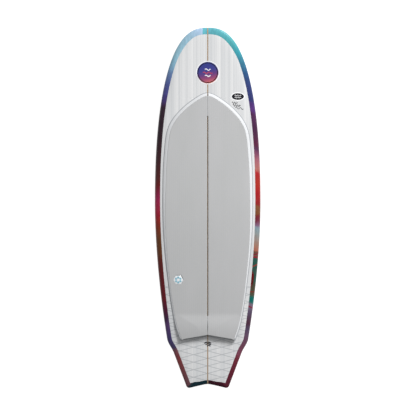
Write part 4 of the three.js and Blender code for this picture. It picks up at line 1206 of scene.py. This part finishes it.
def add_inlay():
    """The hexagon, with six plain cells on it."""
    place = inlay_place()
    points, faces = hexagon(INLAY_RADIUS, INLAY_LIFT, INLAY_TOP, 0.5)
    add_piece("inlay_plate", (placed_by(place, points), faces), "inlay", replaces=["pad_inlay"])
    points, faces = hexagon(CELL_RADIUS, INLAY_TOP - CELL_SINK, INLAY_TOP + CELL_PROUD, 0.12, math.pi / 6)
    for number in range(6):
        angle = math.radians(60 * number + 30)
        placed = placed_by(place, points, (CELL_REACH * math.cos(angle), CELL_REACH * math.sin(angle), 0))
        add_piece(f"inlay_cell_{number + 1}", (placed, faces), "inlay_ink")


def inlay_cutter():
    points, faces = hexagon(INLAY_RADIUS + INLAY_GAP, -4, 9)
    return new_object("inlay_hole", placed_by(inlay_place(), points, INLAY_GAP_SHIFT), faces)


# ---- fins, boxes and screws ----
SIDE_FIN = dict(station=1322.0, base=108.0, depth=106.0, rake=62.0, tip=22.0, cant=5.0, toe=2.5)
FINS = {
    "left": dict(SIDE_FIN, x=-146.0),
    "right": dict(SIDE_FIN, x=146.0),
    "center": dict(
        station=CENTER_FIN_STATION, x=0.0, base=96.0, depth=92.0, rake=58.0, tip=20.0, cant=0.0, toe=0.0),
}
FIN_THICKNESS, FIN_EDGE, FIN_FOOT, FIN_FOOT_DEPTH, FIN_SINK = 7.0, 0.12, 0.9, 4.0, 2.0
TAB_THICKNESS, TAB_DEPTH, TAB_END, TAB_START = 5.5, 13.0, 3.0, 2.2
BOX_WIDTH, BOX_DEPTH, BOX_MARGIN, POCKET_GAP = 29.0, 17.0, 17.0, 0.2


def fin_place(fin):
    """A fin's own axes: X across, Y towards the nose, Z up, with the board's bottom at zero height."""
    side = math.copysign(1, fin["x"]) if fin["x"] else 0
    turn = Matrix.Rotation(side * math.radians(fin["toe"]), 4, "Z")
    turn = turn @ Matrix.Rotation(-side * math.radians(fin["cant"]), 4, "Y")
    turn = turn @ Matrix.Rotation(-math.atan(rocker_slope(fin["station"])), 4, "X")
    spot = (fin["x"], LENGTH / 2 - fin["station"], float(bottom_height(fin["x"], fin["station"])))
    return Matrix.Translation(spot) @ turn


def stadium(length, width, low, high, count=24):
    radius, straight = width / 2, length / 2 - width / 2
    half = np.linspace(0, np.pi, count)
    angle = np.concatenate([half, half + np.pi])
    centre = np.where(np.arange(2 * count) < count, straight, -straight)
    ring = np.stack([radius * np.cos(angle), centre + radius * np.sin(angle)], 1)
    return loft(np.stack([np.column_stack([ring, np.full(len(ring), z)]) for z in (low, high)]))


def box_pocket(side):
    fin = FINS[side]
    length = fin["base"] + 2 * BOX_MARGIN + POCKET_GAP
    points, faces = stadium(length, BOX_WIDTH + POCKET_GAP, -8, BOX_DEPTH + 0.3)
    return new_object(f"pocket_{side}", placed_by(fin_place(fin), points), faces)


def foil(share):
    """Half thickness along a fin's chord, from 0 at the leading edge up to 1."""
    root = 0.2969 * np.sqrt(share) - 0.126 * share
    return 10 * (root - 0.3516 * share**2 + 0.2843 * share**3 - 0.1015 * share**4)


def fin_rings(fin, count=44):
    """Sections of a fin from just inside the board out to its tip."""
    along = (1 - np.cos(np.linspace(0, np.pi, 30))) / 2
    back = np.concatenate([along, along[-2:0:-1]])
    rings = []
    for drop in [-FIN_SINK, *(fin["depth"] * (1 - (1 - np.linspace(0, 1, count)) ** 1.5))]:
        reach = min(max(drop / fin["depth"], 0.0), 0.9996)
        chord = mix(fin["base"], fin["tip"], reach**1.35) * math.sqrt(1 - reach**7)
        lead = fin["base"] / 2 - fin["rake"] * reach**1.25 - (fin["base"] - fin["tip"]) * 0.42 * reach**2
        half = FIN_THICKNESS / 2 * mix(1, 0.35, reach) * math.sqrt(1 - reach**14)
        wide = half * foil(along) + FIN_EDGE + FIN_FOOT * (1 - clamp01(drop / FIN_FOOT_DEPTH)) ** 2
        x = np.concatenate([wide, -wide[-2:0:-1]])
        rings.append(np.stack([x, lead - chord * back, np.full_like(x, -drop)], 1))
    return np.stack(rings)


def add_fin(side):
    fin = FINS[side]
    points, faces = loft(fin_rings(fin))
    tab_points, tab_faces = stadium(fin["base"] - 2 * TAB_END, TAB_THICKNESS, TAB_START, TAB_DEPTH)
    faces = [*faces, *[np.asarray(f) + len(points) for f in tab_faces]]
    placed = placed_by(fin_place(fin), np.concatenate([points, tab_points]))
    add_piece(f"blade_{side}", (placed, faces), "fin", f"{side}_fin", [f"fin_{side}"])


def dress_cad_nodes():
    """Materials for the CAD nodes that stay."""
    for name, node in frame["nodes"].items():
        for start, look in (("foam_core_", "core"), ("fin_box_", "box"), ("fin_screw_", "steel")):
            if name.startswith(start):
                node.data.materials.clear()
                node.data.materials.append(MATERIALS[look])


# ---- build ----
pockets = {side: box_pocket(side) for side in FINS}
inlay_hole = inlay_cutter()
add_board_halves(list(pockets.values()))
add_stringer(pockets["center"])
add_pads(inlay_hole)
add_nose_badge()
add_deck_marks()
add_inlay()
for side in FINS:
    add_fin(side)
dress_cad_nodes()
for tool in [*pockets.values(), inlay_hole]:
    bpy.data.objects.remove(tool)


# ---- studio: floor, light and camera ----
FLOOR_HALF, FLOOR_DROP, FLOOR_GREY, FLOOR_GLOW = 60.0, 0.001, 0.2, 0.94
WORLD_COLOUR, WORLD_STRENGTH = (0.985, 0.992, 1.0, 1), 0.47
KEY_SPOT, KEY_AIM, KEY_SIZE, KEY_POWER = (2.25, 3.1, 2.62), (0, 0, 0.05), 2.2, 330
VIEW_HEIGHT, VIEW_CENTRE, DECK_HEIGHT = 1.881, (0.0013, 0.0009), 0.03
LENS, SENSOR = 400.0, 36.0


def add_floor():
    """A large pale floor that is clear from below."""
    mesh = bpy.data.meshes.new("floor")
    corners = [(x * FLOOR_HALF, y * FLOOR_HALF, 0) for x, y in ((-1, -1), (1, -1), (1, 1), (-1, 1))]
    mesh.from_pydata(corners, [], [(0, 1, 2, 3)])
    material = bpy.data.materials.new("floor")
    material.use_nodes = True
    tree = material.node_tree
    surface = tree.nodes["Principled BSDF"]
    for socket, value in (("Base Color", (FLOOR_GREY, FLOOR_GREY, FLOOR_GREY, 1)), ("Roughness", 0.9),
                          ("Specular IOR Level", 0.0), ("Emission Color", (1, 1, 1, 1)),
                          ("Emission Strength", FLOOR_GLOW)):
        surface.inputs[socket].default_value = value
    facing, clear, either = (
        tree.nodes.new("ShaderNode" + kind) for kind in ("NewGeometry", "BsdfTransparent", "MixShader"))
    tree.links.new(facing.outputs["Backfacing"], either.inputs[0])
    tree.links.new(surface.outputs[0], either.inputs[1])
    tree.links.new(clear.outputs[0], either.inputs[2])
    tree.links.new(either.outputs[0], tree.nodes["Material Output"].inputs["Surface"])
    mesh.materials.append(material)
    floor = link_new("floor", mesh)
    floor.location.z = -FLOOR_DROP


def add_light():
    """Soft plain light: a pale sky, and one large lamp."""
    world = bpy.data.worlds.new("studio")
    bpy.context.scene.world = world
    world.use_nodes = True
    sky = world.node_tree.nodes["Background"].inputs
    sky["Color"].default_value, sky["Strength"].default_value = WORLD_COLOUR, WORLD_STRENGTH
    lamp = bpy.data.lights.new("key", "AREA")
    lamp.shape, lamp.size, lamp.energy = "DISK", KEY_SIZE, KEY_POWER
    light = link_new("key", lamp)
    light.location = KEY_SPOT
    light.rotation_mode = "QUATERNION"
    light.rotation_quaternion = (Vector(KEY_AIM) - Vector(KEY_SPOT)).to_track_quat("-Z", "Y")


def add_camera():
    """Straight down on the deck, with the nose at the top of the picture."""
    data = bpy.data.cameras.new("camera")
    data.lens, data.sensor_width = LENS, SENSOR
    data.clip_start, data.clip_end = 1.0, 200.0
    camera = link_new("camera", data)
    away = VIEW_HEIGHT * LENS / SENSOR
    camera.matrix_world = REST @ Matrix.Translation((*VIEW_CENTRE, DECK_HEIGHT + away))
    bpy.context.scene.camera = camera


add_floor()
add_light()
add_camera()
bpy.context.scene.view_settings.view_transform = "Standard"
